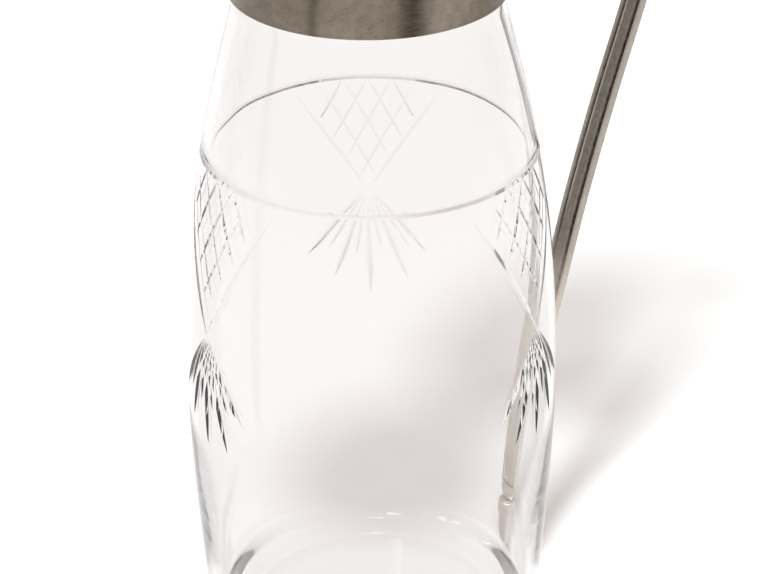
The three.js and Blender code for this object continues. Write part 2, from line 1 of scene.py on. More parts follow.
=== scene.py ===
# %% [markdown]
# # A cut-glass carafe with a plated mount
# The carafe is a blown barrel of clear glass. A silversmith has capped it with a plated collar, a waisted
# neck with a spout, and a hinged lid, and has hung a long reeded strap from the back of the neck.
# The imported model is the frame: it says where each piece is and how large. This lesson gives each piece
# a fine surface and a finish, and never moves or resizes anything.

# %% Load the frame
import math

import bmesh
import bpy
import numpy as np
from mathutils import Matrix, Vector


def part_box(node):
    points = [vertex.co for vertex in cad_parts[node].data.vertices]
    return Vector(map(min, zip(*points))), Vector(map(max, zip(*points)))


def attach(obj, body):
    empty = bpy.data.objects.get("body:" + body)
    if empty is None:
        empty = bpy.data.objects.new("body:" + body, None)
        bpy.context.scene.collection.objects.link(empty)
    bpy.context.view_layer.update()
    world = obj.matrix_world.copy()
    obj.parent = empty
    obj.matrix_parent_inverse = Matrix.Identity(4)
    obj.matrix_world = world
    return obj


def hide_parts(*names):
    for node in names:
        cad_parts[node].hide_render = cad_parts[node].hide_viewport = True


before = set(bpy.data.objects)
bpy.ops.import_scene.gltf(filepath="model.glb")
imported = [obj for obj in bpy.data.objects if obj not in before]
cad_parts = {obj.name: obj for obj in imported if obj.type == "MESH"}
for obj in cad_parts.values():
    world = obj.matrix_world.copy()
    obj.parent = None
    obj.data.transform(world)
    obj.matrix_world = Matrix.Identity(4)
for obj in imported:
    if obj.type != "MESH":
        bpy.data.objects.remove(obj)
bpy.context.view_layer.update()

# %% [markdown]
# Silversmiths and glass makers measure in millimetres and Blender in metres. Every size below is written
# in millimetres, and the mesh helpers turn it into metres once.

# %% Units
MM = 0.001


def box_mm(node):
    """Lowest and highest corner of a piece of the frame, in millimetres."""
    low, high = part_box(node)
    return np.array(low) / MM, np.array(high) / MM


def placed(name, data):
    """A new object at the origin that holds a mesh, a lamp or a camera."""
    made = bpy.data.objects.new(name, data)
    bpy.context.scene.collection.objects.link(made)
    return made


# %% [markdown]
# ## Camera
# The photograph was taken with a long lens from above, so the upright lines hardly converge. The camera
# stands 639 mm from the point beside the axis at which it is aimed, looks about 28 degrees down, and is
# turned so that the handle lies to the right and a little behind the glass.

# %% Camera
PHOTO_WIDTH = 765
PHOTO_HEIGHT = 574
FOCAL_PIXELS = 2570
LOOK_DOWN = math.radians(28.3)
TURN = math.radians(-32)
TILT = math.radians(-0.35)
AIM_HEIGHT = 104
DISTANCE = 639
SIDE_STEP = 2.9

camera_data = bpy.data.cameras.new("camera")
camera_data.sensor_width = 36
camera_data.lens = camera_data.sensor_width * FOCAL_PIXELS / PHOTO_WIDTH
camera = placed("camera", camera_data)
facing = (
    Matrix.Rotation(TURN, 3, "Z")
    @ Matrix.Rotation(math.pi / 2 - LOOK_DOWN, 3, "X")
    @ Matrix.Rotation(TILT, 3, "Z")
)
aim = Vector((0, 0, AIM_HEIGHT)) + facing @ Vector((SIDE_STEP, 0, 0))
stand = aim + facing @ Vector((0, 0, DISTANCE))
camera.matrix_world = Matrix.Translation(stand * MM) @ facing.to_4x4()
bpy.context.scene.camera = camera
bpy.context.scene.view_settings.view_transform = "Standard"
print("lens", round(camera_data.lens, 1), "mm, picture", PHOTO_WIDTH, "by", PHOTO_HEIGHT)

# %% [markdown]
# ## Shader maths as Python
# A finish is a small network of nodes. Wired by hand it takes many lines, so one class wraps a socket and
# lets ordinary arithmetic add the Math nodes. Any other node comes from one method that takes the
# node's type, its settings and what its sockets get.

# %% A socket that does arithmetic
class Wire:
    """An output socket in a node tree. Arithmetic on wires adds Math nodes to the tree."""

    def __init__(self, tree, socket):
        self.tree = tree
        self.socket = socket

    def node(self, kind, settings, sockets, output=0):
        """Adds a node of that kind. Sockets maps an input's name or number to a wire or a plain value."""
        made = self.tree.nodes.new(kind)
        for name, value in settings.items():
            setattr(made, name, value)
        for name, value in sockets.items():
            if isinstance(value, Wire):
                self.tree.links.new(value.socket, made.inputs[name])
            else:
                made.inputs[name].default_value = value
        return Wire(self.tree, made.outputs[output])

    def maths(self, operation, first, second):
        return self.node("ShaderNodeMath", {"operation": operation}, {0: first, 1: second})

    def __add__(self, other):
        return self.maths("ADD", self, other)

    def __radd__(self, other):
        return self.maths("ADD", other, self)

    def __sub__(self, other):
        return self.maths("SUBTRACT", self, other)

    def __rsub__(self, other):
        return self.maths("SUBTRACT", other, self)

    def __mul__(self, other):
        return self.maths("MULTIPLY", self, other)

    def __rmul__(self, other):
        return self.maths("MULTIPLY", other, self)

    def between(self, low, high):
        """0 where this wire is low or less, 1 where it is high or more, and a straight rise between."""
        sockets = {"Value": self, "From Min": low, "From Max": high}
        return self.node("ShaderNodeMapRange", {"clamp": True}, sockets)

    def colours(self, first, second):
        """The first colour where this wire is 0 and the second where it is 1."""
        return self.node("ShaderNodeMix", {"data_type": "RGBA"}, {0: self, 6: first, 7: second}, output=2)


def noise(place, grain_mm, detail=2.0, stretch=(1, 1, 1)):
    """Smooth noise from 0 to 1 whose features are grain_mm across, drawn out along an axis by stretch."""
    scale = [1 / (MM * grain_mm * s) for s in stretch]
    moved = place.node("ShaderNodeMapping", {"vector_type": "POINT"}, {"Vector": place, "Scale": scale})
    return place.node("ShaderNodeTexNoise", {}, {"Vector": moved, "Scale": 1.0, "Detail": detail})


def colour(red, green, blue):
    """An opaque colour from three shares of light."""
    return (red, green, blue, 1.0)


def new_finish(name):
    """A bare material with one Principled shader: the material, its shader and Object coordinates."""
    material = bpy.data.materials.new(name)
    material.use_nodes = True
    tree = material.node_tree
    shader = tree.nodes["Principled BSDF"]
    place = Wire(tree, tree.nodes.new("ShaderNodeTexCoord").outputs["Object"])
    return material, shader, place


def feed(node, name, wire):
    """Links a wire to the input of that name."""
    wire.tree.links.new(wire.socket, node.inputs[name])


def painted(place, name):
    """The value that paint has stored at each point of a piece under that name."""
    return place.node("ShaderNodeAttribute", {"attribute_name": name}, {}, output="Fac")


def raise_by(shader, relief, height_mm, strength=1.0):
    """Makes the surface look raised by up to height_mm where the relief is 1."""
    sockets = {"Strength": strength, "Distance": height_mm * MM, "Height": relief}
    feed(shader, "Normal", relief.node("ShaderNodeBump", {}, sockets))


print("shader helpers ready")

# %% [markdown]
# ## Clear glass
# The body is thin soda glass, blown and then cut. Real refraction is what shows the thick floor, the
# dark edges and the cuts, so the shader is plain transmission with the index of glass. Each surface holds
# back a little light and so does the body, which greys the view where it crosses much glass. A wheel
# leaves its cuts greyer and less smooth than the blown skin, so these two looks follow an attribute
# called cut. Blown glass is never quite even: a very low, wide bump makes things seen through it waver.

# %% Glass finish
GLASS_INDEX = 1.5
GLASS_TINT = colour(0.945, 0.930, 0.926)
GLASS_CUT_TINT = colour(0.80, 0.78, 0.77)
GLASS_BODY_TINT = colour(0.1, 0.0, 0.0)
GLASS_SOAKS = 8.0
CUT_ROUGHNESS = 0.12
RIPPLE_SIZE = 16
RIPPLE_STRETCH = (1, 1, 1.8)
RIPPLE_HEIGHT = 0.10


def glass_finish():
    """Clear glass, greyer and rougher as the painted value cut goes from 0 to 1."""
    material, shader, place = new_finish("clear_glass")
    cut = painted(place, "cut")
    feed(shader, "Base Color", cut.colours(GLASS_TINT, GLASS_CUT_TINT))
    feed(shader, "Roughness", cut * CUT_ROUGHNESS)
    shader.inputs["IOR"].default_value = GLASS_INDEX
    shader.inputs["Transmission Weight"].default_value = 1.0
    raise_by(shader, noise(place, RIPPLE_SIZE, detail=1.0, stretch=RIPPLE_STRETCH), RIPPLE_HEIGHT)
    soaking = {"Color": GLASS_BODY_TINT, "Density": GLASS_SOAKS}
    body = place.node("ShaderNodeVolumeAbsorption", {}, soaking)
    feed(material.node_tree.nodes["Material Output"], "Volume", body)
    return material


clear_glass = glass_finish()
print("finish:", clear_glass.name)

# %% [markdown]
# ## Tarnished silver plate
# The mount was bright once. Now it is a dull brownish grey, a little cloudy, with fine dark pits and
# wiping marks. The same recipe serves the mount and the handle: two greys mixed by broad clouds and a
# finer mottle, pits that darken and roughen, and a fine bump. A painted value blackens it further: on the
# collar upright stripes of painted reflection, and on the handle the grooves, partly tarnish and partly
# painted shade.

# %% Plate finish
PLATE_BRIGHT = colour(0.300, 0.258, 0.208)
PLATE_DULL = colour(0.195, 0.163, 0.128)
PLATE_PIT = colour(0.085, 0.070, 0.056)
STRAP_BRIGHT = colour(0.72, 0.655, 0.585)
STRAP_DULL = colour(0.60, 0.535, 0.465)
# Near black of tarnish in the grooves, also used for painted shade and painted dark reflections.
PATINA_AND_PAINTED_DARK = colour(0.035, 0.022, 0.015)
CLOUD_SIZE = 14
MOTTLE_SIZE = 2.2
PIT_SIZE = 0.55
WIPE_SIZE = 0.35
CLOUD_SHARE = 0.6
PIT_SHARE = 0.55
DARKENING_SHARE = 0.65
CLOUD_ROUGHNESS = 0.06
WIPE_ROUGHNESS = 0.10
PIT_ROUGHNESS = 0.10
TARNISH_ROUGHNESS = 0.15
PLATE_RELIEF = 0.02
PLATE_RELIEF_STRENGTH = 0.35


def plate_finish(name, bright, dull, roughness, wipe_stretch):
    """Cloudy plate, blacker and rougher as a painted value goes from 0 to 1, which holds tarnish, painted
    shade and painted reflections.
    """
    material, shader, place = new_finish(name)
    clouds = noise(place, CLOUD_SIZE, detail=4.0).between(0.35, 0.65)
    mottle = noise(place, MOTTLE_SIZE, detail=5.0).between(0.38, 0.66)
    pits = noise(place, PIT_SIZE, detail=3.0).between(0.60, 0.74)
    wipes = noise(place, WIPE_SIZE, detail=2.0, stretch=wipe_stretch)
    tarnish_and_painted_light = painted(place, "tarnish_and_painted_light")
    tone = (clouds * CLOUD_SHARE + mottle * (1 - CLOUD_SHARE)).colours(bright, dull)
    tone = (pits * PIT_SHARE).colours(tone, PLATE_PIT)
    # The painted value blackens the plate: tarnish and painted shade on the handle, painted reflections on
    # the collar.
    tone = (tarnish_and_painted_light * (DARKENING_SHARE + wipes * DARKENING_SHARE)).colours(tone, PATINA_AND_PAINTED_DARK)
    painted_highlight = roughness + clouds * CLOUD_ROUGHNESS + wipes * WIPE_ROUGHNESS
    shader.inputs["Metallic"].default_value = 1.0
    feed(shader, "Base Color", tone)
    feed(shader, "Roughness", painted_highlight + pits * PIT_ROUGHNESS + tarnish_and_painted_light * TARNISH_ROUGHNESS)
    raise_by(shader, wipes * 0.5 - pits, PLATE_RELIEF, PLATE_RELIEF_STRENGTH)
    return material


mount_plate = plate_finish("mount_plate", PLATE_BRIGHT, PLATE_DULL, roughness=0.30, wipe_stretch=(6, 6, 1))
strap_plate = plate_finish("strap_plate", STRAP_BRIGHT, STRAP_DULL, roughness=0.24, wipe_stretch=(1, 1, 30))
small_plate = plate_finish("small_plate", STRAP_BRIGHT, STRAP_DULL, roughness=0.28, wipe_stretch=(1, 1, 3))
print("finishes:", mount_plate.name, strap_plate.name, small_plate.name)

# %% [markdown]
# ## Plaster bedding
# The collar can't be soldered to the glass: the smith beds the rim in a ring of plaster. It shows only as
# a pale matt band when one looks up through the glass, so two tones and a fine grain are enough.

# %% Plaster finish
PLASTER_LIGHT = colour(0.74, 0.70, 0.63)
PLASTER_DARK = colour(0.58, 0.53, 0.46)
PLASTER_ROUGHNESS = 0.9
PLASTER_GRAIN = 0.8
PLASTER_RELIEF = 0.05


def plaster_finish():
    """Matt plaster: fine noise mixes two tones and raises the surface."""
    material, shader, place = new_finish("plaster")
    grain = noise(place, PLASTER_GRAIN, detail=5.0)
    feed(shader, "Base Color", grain.colours(PLASTER_LIGHT, PLASTER_DARK))
    shader.inputs["Roughness"].default_value = PLASTER_ROUGHNESS
    raise_by(shader, grain, PLASTER_RELIEF)
    return material


plaster = plaster_finish()
print("finish:", plaster.name)

# %% [markdown]
# ## Surfaces from formulas
# Nearly every piece is turned or drawn, so nearly every piece is a profile carried round an axis or
# along a line. That is a grid of points, worked out by numpy as whole arrays, with four-sided faces
# between its rows. A closed form is turned right side out by the sign of its volume.

# %% Grids and meshes
SHARP = math.radians(35)


def grid_faces(rows, columns, wrap_rows=False):
    """Four-sided faces between neighbouring points of a grid whose columns run round and close."""
    row = np.arange(rows if wrap_rows else rows - 1)[:, None]
    column = np.arange(columns)[None, :]
    next_row = (row + 1) % rows
    next_column = (column + 1) % columns
    corners = [row * columns + column, row * columns + next_column]
    corners += [next_row * columns + next_column, next_row * columns + column]
    return np.stack(corners, axis=-1).reshape(-1, 4)


def volume_of(points, faces):
    """Six times the signed volume: the sum of a . (b x c) over the triangles of a fan on each face."""
    total = 0.0
    for face_array in faces:
        for i in range(1, face_array.shape[1] - 1):
            a, b, c = (points[face_array[:, k]] for k in (0, i, i + 1))
            total += np.einsum("ij,ij->", a, np.cross(b, c))
    return total


def outward(points, faces):
    """The same faces, turned over if the form is inside out."""
    if volume_of(points, faces) < 0:
        return [face_array[:, ::-1] for face_array in faces]
    return faces


def shaded(mesh, sharp):
    """Shades a mesh smoothly, but creases it where two faces meet at more than the angle sharp."""
    mesh.shade_smooth()
    mesh.set_sharp_from_angle(angle=sharp)


def new_piece(name, points, faces, sharp=SHARP):
    """An object from points in millimetres and arrays of faces."""
    mesh = bpy.data.meshes.new(name)
    face_list = [face for face_array in outward(points, faces) for face in face_array.tolist()]
    mesh.from_pydata((points * MM).tolist(), [], face_list)
    shaded(mesh, sharp)
    return placed(name, mesh)


def paint(piece, name, values):
    """Stores a value from 0 to 1 for each point of a piece, which its finish reads by name."""
    attribute = piece.data.attributes.new(name, "FLOAT", "POINT")
    attribute.data.foreach_set("value", values.astype(np.float32))


def finish_piece(piece, material, body, node):
    """Gives a piece its finish, hangs it on its body and hides the piece of the frame it stands for.

    A Boolean leaves an empty material slot first in its result, so the slots are cleared before."""
    piece.data.materials.clear()
    piece.data.materials.append(material)
    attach(piece, body)
    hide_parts(node)
    z = np.array(piece.bound_box)[:, 2] / MM
    print(piece.name, len(piece.data.polygons), "faces, z", z.min().round(1), "to", z.max().round(1))


def mount_piece(name, form, body, node):
    """A finished piece of the plated mount from its points and faces."""
    finish_piece(new_piece(name, *form), mount_plate, body, node)


print("mesh helpers ready")

# %% [markdown]
# A good outline is most of the work. It is a few curves joined end to end, and a wall is the same line
# moved sideways. No worn edge is truly sharp, so corners are rounded before the outline is used.

# %% Outlines
def curve(start, pull_start, pull_end, end, count=16):
    """A cubic curve: the four points weighted (1-t)^3, 3t(1-t)^2, 3t^2(1-t) and t^3, for t from 0 to 1."""
    t = np.linspace(0, 1, count)[:, None]
    points = [np.array(p, float) for p in (start, pull_start, pull_end, end)]
    weights = [(1 - t) ** 3, 3 * t * (1 - t) ** 2, 3 * t**2 * (1 - t), t**3]
    return sum(w * p for w, p in zip(weights, points))


def join(*lines):
    """Joins lines end to end and drops a point that repeats the one before it."""
    points = np.concatenate([np.atleast_2d(np.array(line, float)) for line in lines])
    step = np.linalg.norm(np.diff(points, axis=0), axis=1)
    return points[np.concatenate([[True], step > 1e-6])]


def beside(line, distance):
    """The line moved sideways, to its right hand as it runs: each point plus distance times its normal."""
    along = np.gradient(line, axis=0)
    along /= np.linalg.norm(along, axis=1)[:, None]
    return line + distance * np.stack([along[:, 1], -along[:, 0]], axis=1)


def rounded(points, radius, count=5, closed=True):
    """A polygon with each corner p replaced by the curve (1-t)^2 a + 2t(1-t) p + t^2 b.

    a and b lie on the two edges at p, a radius from it or under half an edge away."""
    points = np.array(points, float)
    before = np.roll(points, 1, axis=0) - points
    after = np.roll(points, -1, axis=0) - points
    span_before = np.linalg.norm(before, axis=1)[:, None]
    span_after = np.linalg.norm(after, axis=1)[:, None]
    a = points + before / span_before * np.minimum(radius, span_before * 0.45)
    b = points + after / span_after * np.minimum(radius, span_after * 0.45)
    t = np.linspace(0, 1, count)[None, :, None]
    arcs = (1 - t) ** 2 * a[:, None] + 2 * t * (1 - t) * points[:, None] + t**2 * b[:, None]
    if closed:
        return arcs.reshape(-1, 2)
    return np.concatenate([points[:1], arcs[1:-1].reshape(-1, 2), points[-1:]])


def half_round(low, high, bulge, count):
    """The round edge of a flat ring, from the corners of its box, for a from -90 to 90 degrees:

    radius = reach - bulge + bulge x cos a and height = middle + half the thickness x sin a."""
    middle = (low[2] + high[2]) / 2
    half = (high[2] - low[2]) / 2
    turn = np.linspace(-math.pi / 2, math.pi / 2, count)
    return np.stack([high[0] - bulge + bulge * np.cos(turn), middle + half * np.sin(turn)], axis=1)


print("a right angle rounded by 1 mm:", len(rounded([(0, 0), (9, 0), (9, 9)], 1, closed=False)), "points")

# %% [markdown]
# An outline becomes a form in one of two ways. A lathe or a spinning chuck turns it about the axis, and a
# moulded strip is carried along its line. Where a form has to make room for another, a Boolean takes the
# second out of the first.

# %% Turning, lofting and carving
ROUND_STEPS = 256
SMALL_STEPS = 64


def turned(profile, steps=ROUND_STEPS):
    """Turns a profile of radius r and height h about the upright axis: (r cos a, r sin a, h).

    A profile that starts and ends at radius 0 gets one point at each pole. Any other is a closed loop."""
    profile = np.array(profile, float)
    on_axis = profile[0, 0] < 1e-9
    rings = profile[1:-1] if on_axis else profile
    turn = np.arange(steps) * 2 * math.pi / steps
    x = rings[:, :1] * np.cos(turn)
    y = rings[:, :1] * np.sin(turn)
    z = np.repeat(rings[:, 1:], steps, axis=1)
    points = np.stack([x, y, z], axis=-1).reshape(-1, 3)
    faces = [grid_faces(len(rings), steps, wrap_rows=not on_axis)]
    if on_axis:
        first, last = len(points), len(points) + 1
        here = np.arange(steps)
        there = (here + 1) % steps
        end = (len(rings) - 1) * steps
        poles = [[0, 0, profile[0, 1]], [0, 0, profile[-1, 1]]]
        points = np.concatenate([points, poles])
        faces.append(np.stack([np.full(steps, first), there, here], axis=1))
        faces.append(np.stack([np.full(steps, last), here + end, there + end], axis=1))
    return points, faces


def lofted(loops):
    """Skins closed loops of as many points each, an array (loops, points, 3), and closes both ends."""
    rows, count = loops.shape[:2]
    ends = [np.arange(count)[None, ::-1], np.arange(count)[None, :] + (rows - 1) * count]
    return loops.reshape(-1, 3), [grid_faces(rows, count), *ends]


def merged(parts):
    """Several closed forms as one set of points and faces."""
    offsets = np.cumsum([0] + [len(points) for points, _ in parts])
    points = np.concatenate([points for points, _ in parts])
    faces = [f + offset for (p, own), offset in zip(parts, offsets) for f in outward(p, own)]
    return points, faces


def carved(piece, *cutters):
    """Takes each cutter, a closed form in millimetres, out of the piece and leaves a plain mesh."""
    tools = []
    for i, (points, faces) in enumerate(cutters):
        tool = new_piece(f"cutter_{i}", points, faces)
        modifier = piece.modifiers.new(tool.name, "BOOLEAN")
        modifier.operation = "DIFFERENCE"
        modifier.solver = "MANIFOLD"
        modifier.object = tool
        tools.append(tool)
    bpy.context.view_layer.update()
    shown = piece.evaluated_get(bpy.context.evaluated_depsgraph_get())
    mesh = bpy.data.meshes.new_from_object(shown)
    piece.modifiers.clear()
    piece.data = mesh
    for tool in tools:
        bpy.data.objects.remove(tool)
    return piece


print("surface helpers ready")

# %% [markdown]
# ## The glass barrel
# A blower makes this form in a turned mould: a narrow foot, a belly low down and a long shoulder that
# runs up under the collar. The outline is three cubic curves. The inside follows it at the thickness of
# the wall and ends in a round corner over a thick floor. The fine ring was ground in with a wheel,
# so it is a V of three points in the outline.

# %% Glass outline
glass_high = box_mm("glass_body")[1]
collar_low, collar_high = box_mm("collar_band")
BASE_RADIUS = 36
CORNER_HEIGHT = 6
LOWER_RADIUS = 41.7
LOWER_BULGE = 0.31
BELLY_RADIUS = glass_high[0]
BELLY_HEIGHT = 76
BELLY_PULL = 0.26
SHOULDER_PULL = 0.633
THROAT_PULL = 0.1
THROAT_RADIUS = 32.1
THROAT_HEIGHT = collar_low[2]
RIM_RADIUS = THROAT_RADIUS - 1.5
THROAT_WALL = 2.5
BELLY_WALL = 1.9
FOOT_WALL = 2.8
THIN_ABOVE = 75
THICK_BELOW = 25
RIM_ROUND = 0.8
FLOOR_THICKNESS = 8
FLOOR_CORNER = 10
RING_HEIGHT = 144
RING_HALF_WIDTH = 0.75
RING_DEPTH = 0.28


def glass_outside():
    """The outline from the edge of the foot up to the rim, in three curves and the part in the collar."""
    foot, waist = (BASE_RADIUS, 0), (LOWER_RADIUS, CORNER_HEIGHT)
    belly, throat = (BELLY_RADIUS, BELLY_HEIGHT), (THROAT_RADIUS, THROAT_HEIGHT)
    corner = curve(foot, (BASE_RADIUS + 3, 0), (LOWER_RADIUS - 1.4, 3.5), waist, 12)
    lower_pull = (LOWER_RADIUS + LOWER_BULGE * (BELLY_RADIUS - LOWER_RADIUS), CORNER_HEIGHT + 2.8)
    belly_pull = (BELLY_RADIUS, BELLY_HEIGHT - BELLY_PULL * (BELLY_HEIGHT - CORNER_HEIGHT))
    lower = curve(waist, lower_pull, belly_pull, belly, 30)
    rise = THROAT_HEIGHT - BELLY_HEIGHT
    shoulder_pull = (BELLY_RADIUS, BELLY_HEIGHT + SHOULDER_PULL * rise)
    throat_pull = (THROAT_RADIUS + 0.4, THROAT_HEIGHT - THROAT_PULL * rise)
    upper = curve(belly, shoulder_pull, throat_pull, throat, 56)
    hidden = [(RIM_RADIUS + 0.6, THROAT_HEIGHT + 3), (RIM_RADIUS, THROAT_HEIGHT + 6)]
    hidden += [(RIM_RADIUS, glass_high[2] - RIM_ROUND)]
    return join(corner, lower, upper, hidden)


outside = glass_outside()


def outer_radius(height):
    """Radius of the uncut glass at a height, read along the outline."""
    return np.interp(height, outside[:, 1], outside[:, 0])


def eased(value, low, high):
    """0 up to low, 1 from high on, and 3u^2 - 2u^3 between them."""
    u = np.clip((value - low) / (high - low), 0, 1)
    return 3 * u**2 - 2 * u**3


def wall_at(height):
    """Thickness of the wall: thin at the belly, stouter towards the throat and stoutest at the foot."""
    upwards = (THROAT_WALL - BELLY_WALL) * eased(height, BELLY_HEIGHT, RING_HEIGHT)
    downwards = (FOOT_WALL - BELLY_WALL) * eased(-height, -THIN_ABOVE, -THICK_BELOW)
    return BELLY_WALL + upwards + downwards


def glass_profile():
    """Up the outside with the V of the ring, over the rim, and down the inside at outside - wall.

    The inside ends in a quarter circle, centre + corner x (cos a, -sin a), and the flat floor."""
    ring_foot, ring_top = RING_HEIGHT - RING_HALF_WIDTH, RING_HEIGHT + RING_HALF_WIDTH
    ring = [(outer_radius(ring_foot), ring_foot), (outer_radius(RING_HEIGHT) - RING_DEPTH, RING_HEIGHT)]
    ring += [(outer_radius(ring_top), ring_top)]
    below = outside[outside[:, 1] < ring_foot - 0.5]
    above = outside[outside[:, 1] > ring_top + 0.5]
    rim = [(RIM_RADIUS - RIM_ROUND, glass_high[2]), (RIM_RADIUS - THROAT_WALL + RIM_ROUND, glass_high[2])]
    inner_heights = np.linspace(glass_high[2] - 2 * RIM_ROUND, FLOOR_THICKNESS + FLOOR_CORNER, 70)
    wall = np.stack([outer_radius(inner_heights) - wall_at(inner_heights), inner_heights], axis=1)
    turn = np.linspace(0, math.pi / 2, 14)[1:]
    centre = wall[-1] - (FLOOR_CORNER, 0)
    corner = centre + FLOOR_CORNER * np.stack([np.cos(turn), -np.sin(turn)], axis=1)
    return join((0, 0), (BASE_RADIUS * 0.5, 0), below, ring, above, rim, wall, corner, (0, FLOOR_THICKNESS))


print("glass outline has", len(glass_profile()), "points")

# %% [markdown]
# ## Wheel cuts
# The decoration hangs from the ring in three places: two leaf-shaped arms that meet in a point, a
# lattice of fine crossing cuts between them, and a fan of pointed leaves below. Each cut is the mark of
# a V-edged wheel, so its keel is a shallow arc that dives into the surface and comes up again. The
# cutter here is that mark as a solid: a three-sided prism on a keel that rises above the glass at both
# ends. The cuts could be a bump map, but only real facets bend light the way these do.

# %% A canoe-shaped cutter
ABOVE = 0.25
CLEAR_OF_GLASS = 0.8 * ABOVE
OVERRUN = 0.05
SLOPE_STEP = 0.5


def on_glass(across, below, angle):
    """Points on the glass and their outward normals, for distances across and below a motif's top.

    The point lies at angle + across / radius round the axis, and at the ring's height - below."""
    height = RING_HEIGHT - below
    radius = outer_radius(height)
    slope = (outer_radius(height + SLOPE_STEP) - outer_radius(height - SLOPE_STEP)) / (2 * SLOPE_STEP)
    turn = angle + across / radius
    outwards = np.stack([np.cos(turn), np.sin(turn), -slope], axis=-1)
    outwards /= np.linalg.norm(outwards, axis=-1)[:, None]
    return np.stack([radius * np.cos(turn), radius * np.sin(turn), height], axis=-1), outwards


def canoe(start, end, angle, half_width, depth, belly=0.5, blunt=2.0, steps=25):
    """The mark of a V-edged wheel from start to end, both (across, below) in millimetres.

    With s the distance from the belly as a share of the way to either end, the keel lies
    depth x (1 - s^blunt) under the surface. The cut's half width grows in proportion."""
    t = np.linspace(-OVERRUN, 1 + OVERRUN, steps)
    across, below = (start[i] + t * (end[i] - start[i]) for i in (0, 1))
    middle, outwards = on_glass(across, below, angle)
    share = np.abs(t - belly) / np.where(t < belly, belly, 1 - belly)
    keel = np.maximum(depth * (1 - share**blunt), -CLEAR_OF_GLASS)[:, None]
    along = np.gradient(middle, axis=0)
    along /= np.linalg.norm(along, axis=1)[:, None]
    side = np.cross(outwards, along) * (keel + ABOVE) * half_width / depth
    rails = [middle - outwards * keel, middle + outwards * ABOVE + side, middle + outwards * ABOVE - side]
    return lofted(np.stack(rails, axis=1))


print("a cut has", len(canoe((0, 0), (0, 20), 0, 0.5, 0.18)[0]), "points")

# %% [markdown]
# The three motifs were cut by hand, so they differ a little in height and in the spread of their fans,
# and each cut is a few hundredths of its size off. A random generator with a fixed seed does that here,
# which keeps every run alike. The lattice's runs give a cut's column and its first and last row.

# %% The three motifs
MOTIFS = [
    {"angle": math.radians(178), "apex": 40.2, "fan_length": 0.87, "fan_spread": 1.0},
    {"angle": math.radians(-61), "apex": 39.0, "fan_length": 0.87, "fan_spread": 1.0},
    {"angle": math.radians(59), "apex": 34.2, "fan_length": 0.84, "fan_spread": 1.2},
]
COLUMN = 6.8
ROW = 6.5
LATTICE_RUNS = [(-1, 0, 1.8), (0, 0, 2.8), (1, 0, 3.7), (2, 0.5, 4.7)]
LATTICE_HALF_WIDTH = 0.5
LATTICE_BLUNT = 5.0
ARM_TOP = 21.5
ARM_HALF_WIDTH = 0.8
ARM_BELLY = 0.62
FAN_START = 2.0
LEAF_BELLY = 0.66
WHEEL_SLOPE = 0.36
ARM_SHALLOWER = 0.8
rng = np.random.default_rng(11)


def uneven(value, share=0.06):
    """A size as a hand would cut it, off by up to a share of itself."""
    return value * (1 + rng.uniform(-share, share))


def lattice_cuts(motif, lean):
    """Four parallel fine cuts, each from its column at the ring and half a column sideways per row."""
    cuts = []
    for column, first, last in LATTICE_RUNS:
        start = (lean * COLUMN * (column - first / 2), ROW * first + 0.4)
        end = (lean * COLUMN * (column - last / 2), ROW * last)
        half_width = uneven(LATTICE_HALF_WIDTH)
        depth = half_width * WHEEL_SLOPE
        cuts.append(canoe(start, end, motif["angle"], half_width, depth, blunt=LATTICE_BLUNT))
    return cuts


def arm_cut(motif, side):
    """One long leaf from the ring to the point where the arms meet."""
    start = (side * ARM_TOP, 0.6)
    end = (-side * 0.4, motif["apex"] + 1.0)
    half_width = uneven(ARM_HALF_WIDTH)
    depth = half_width * WHEEL_SLOPE * ARM_SHALLOWER
    return canoe(start, end, motif["angle"], half_width, depth, belly=ARM_BELLY)


LONG_LEAVES = {0: 34, -18: 32, 18: 32, -36: 27, 36: 27}
SHORT_LEAVES = {-9: 21.5, 9: 21.5, -27: 22.5, 27: 22.5}
LEAF_HALF_WIDTH = {True: 1.0, False: 0.6}


def leaf_cut(motif, degrees):
    """One leaf of the fan, fatter towards its lower end, at some degrees from straight down."""
    is_long = degrees in LONG_LEAVES
    length = (LONG_LEAVES if is_long else SHORT_LEAVES)[degrees] * motif["fan_length"]
    lean = math.radians(degrees * motif["fan_spread"] + rng.uniform(-1.2, 1.2))
    reach = FAN_START + uneven(length, 0.04)
    start = (math.sin(lean) * FAN_START, motif["apex"] + math.cos(lean) * FAN_START)
    end = (math.sin(lean) * reach, motif["apex"] + math.cos(lean) * reach)
    half_width = uneven(LEAF_HALF_WIDTH[is_long])
    return canoe(start, end, motif["angle"], half_width, half_width * WHEEL_SLOPE, belly=LEAF_BELLY)


print("lengths of the leaves:", sorted({**LONG_LEAVES, **SHORT_LEAVES}.values()), "mm")

# %% [markdown]
# The solver takes a batch of cutters out at once, as long as those of one batch don't cross. So the two
# directions of the lattice, the arms and the neighbouring leaves go in one batch after another. Only
# faces that meet at under 8 degrees, as they do in the blown skin, are shaded as one, so facets stay crisp.
# Clear glass hardly dims a lamp, but its refraction would block the direct light of one in the render, so
# the glass is left out of shadow rays and of the light that matt surfaces receive.

# %% Cut the glass
CUT_SHARP = math.radians(8)
FULL_DEPTH = 0.2
SKIN_SHARE = 0.6


def cut_share(points):
    """How deep each point lies under the blown skin, as a share of FULL_DEPTH, and 0 on the inner wall."""
    under = outer_radius(points[:, 2]) - np.hypot(points[:, 0], points[:, 1])
    return np.where(under < wall_at(points[:, 2]) * SKIN_SHARE, np.clip(under / FULL_DEPTH, 0, 1), 0)


batches = []
for lean in (1, -1):
    batches.append(merged([cut for motif in MOTIFS for cut in lattice_cuts(motif, lean)]))
for side in (1, -1):
    batches.append(merged([arm_cut(motif, side) for motif in MOTIFS]))
for chosen in [(0, -36, 36), (-18, 18), (-9, 9), (-27, 27)]:
    batches.append(merged([leaf_cut(motif, degrees) for motif in MOTIFS for degrees in chosen]))

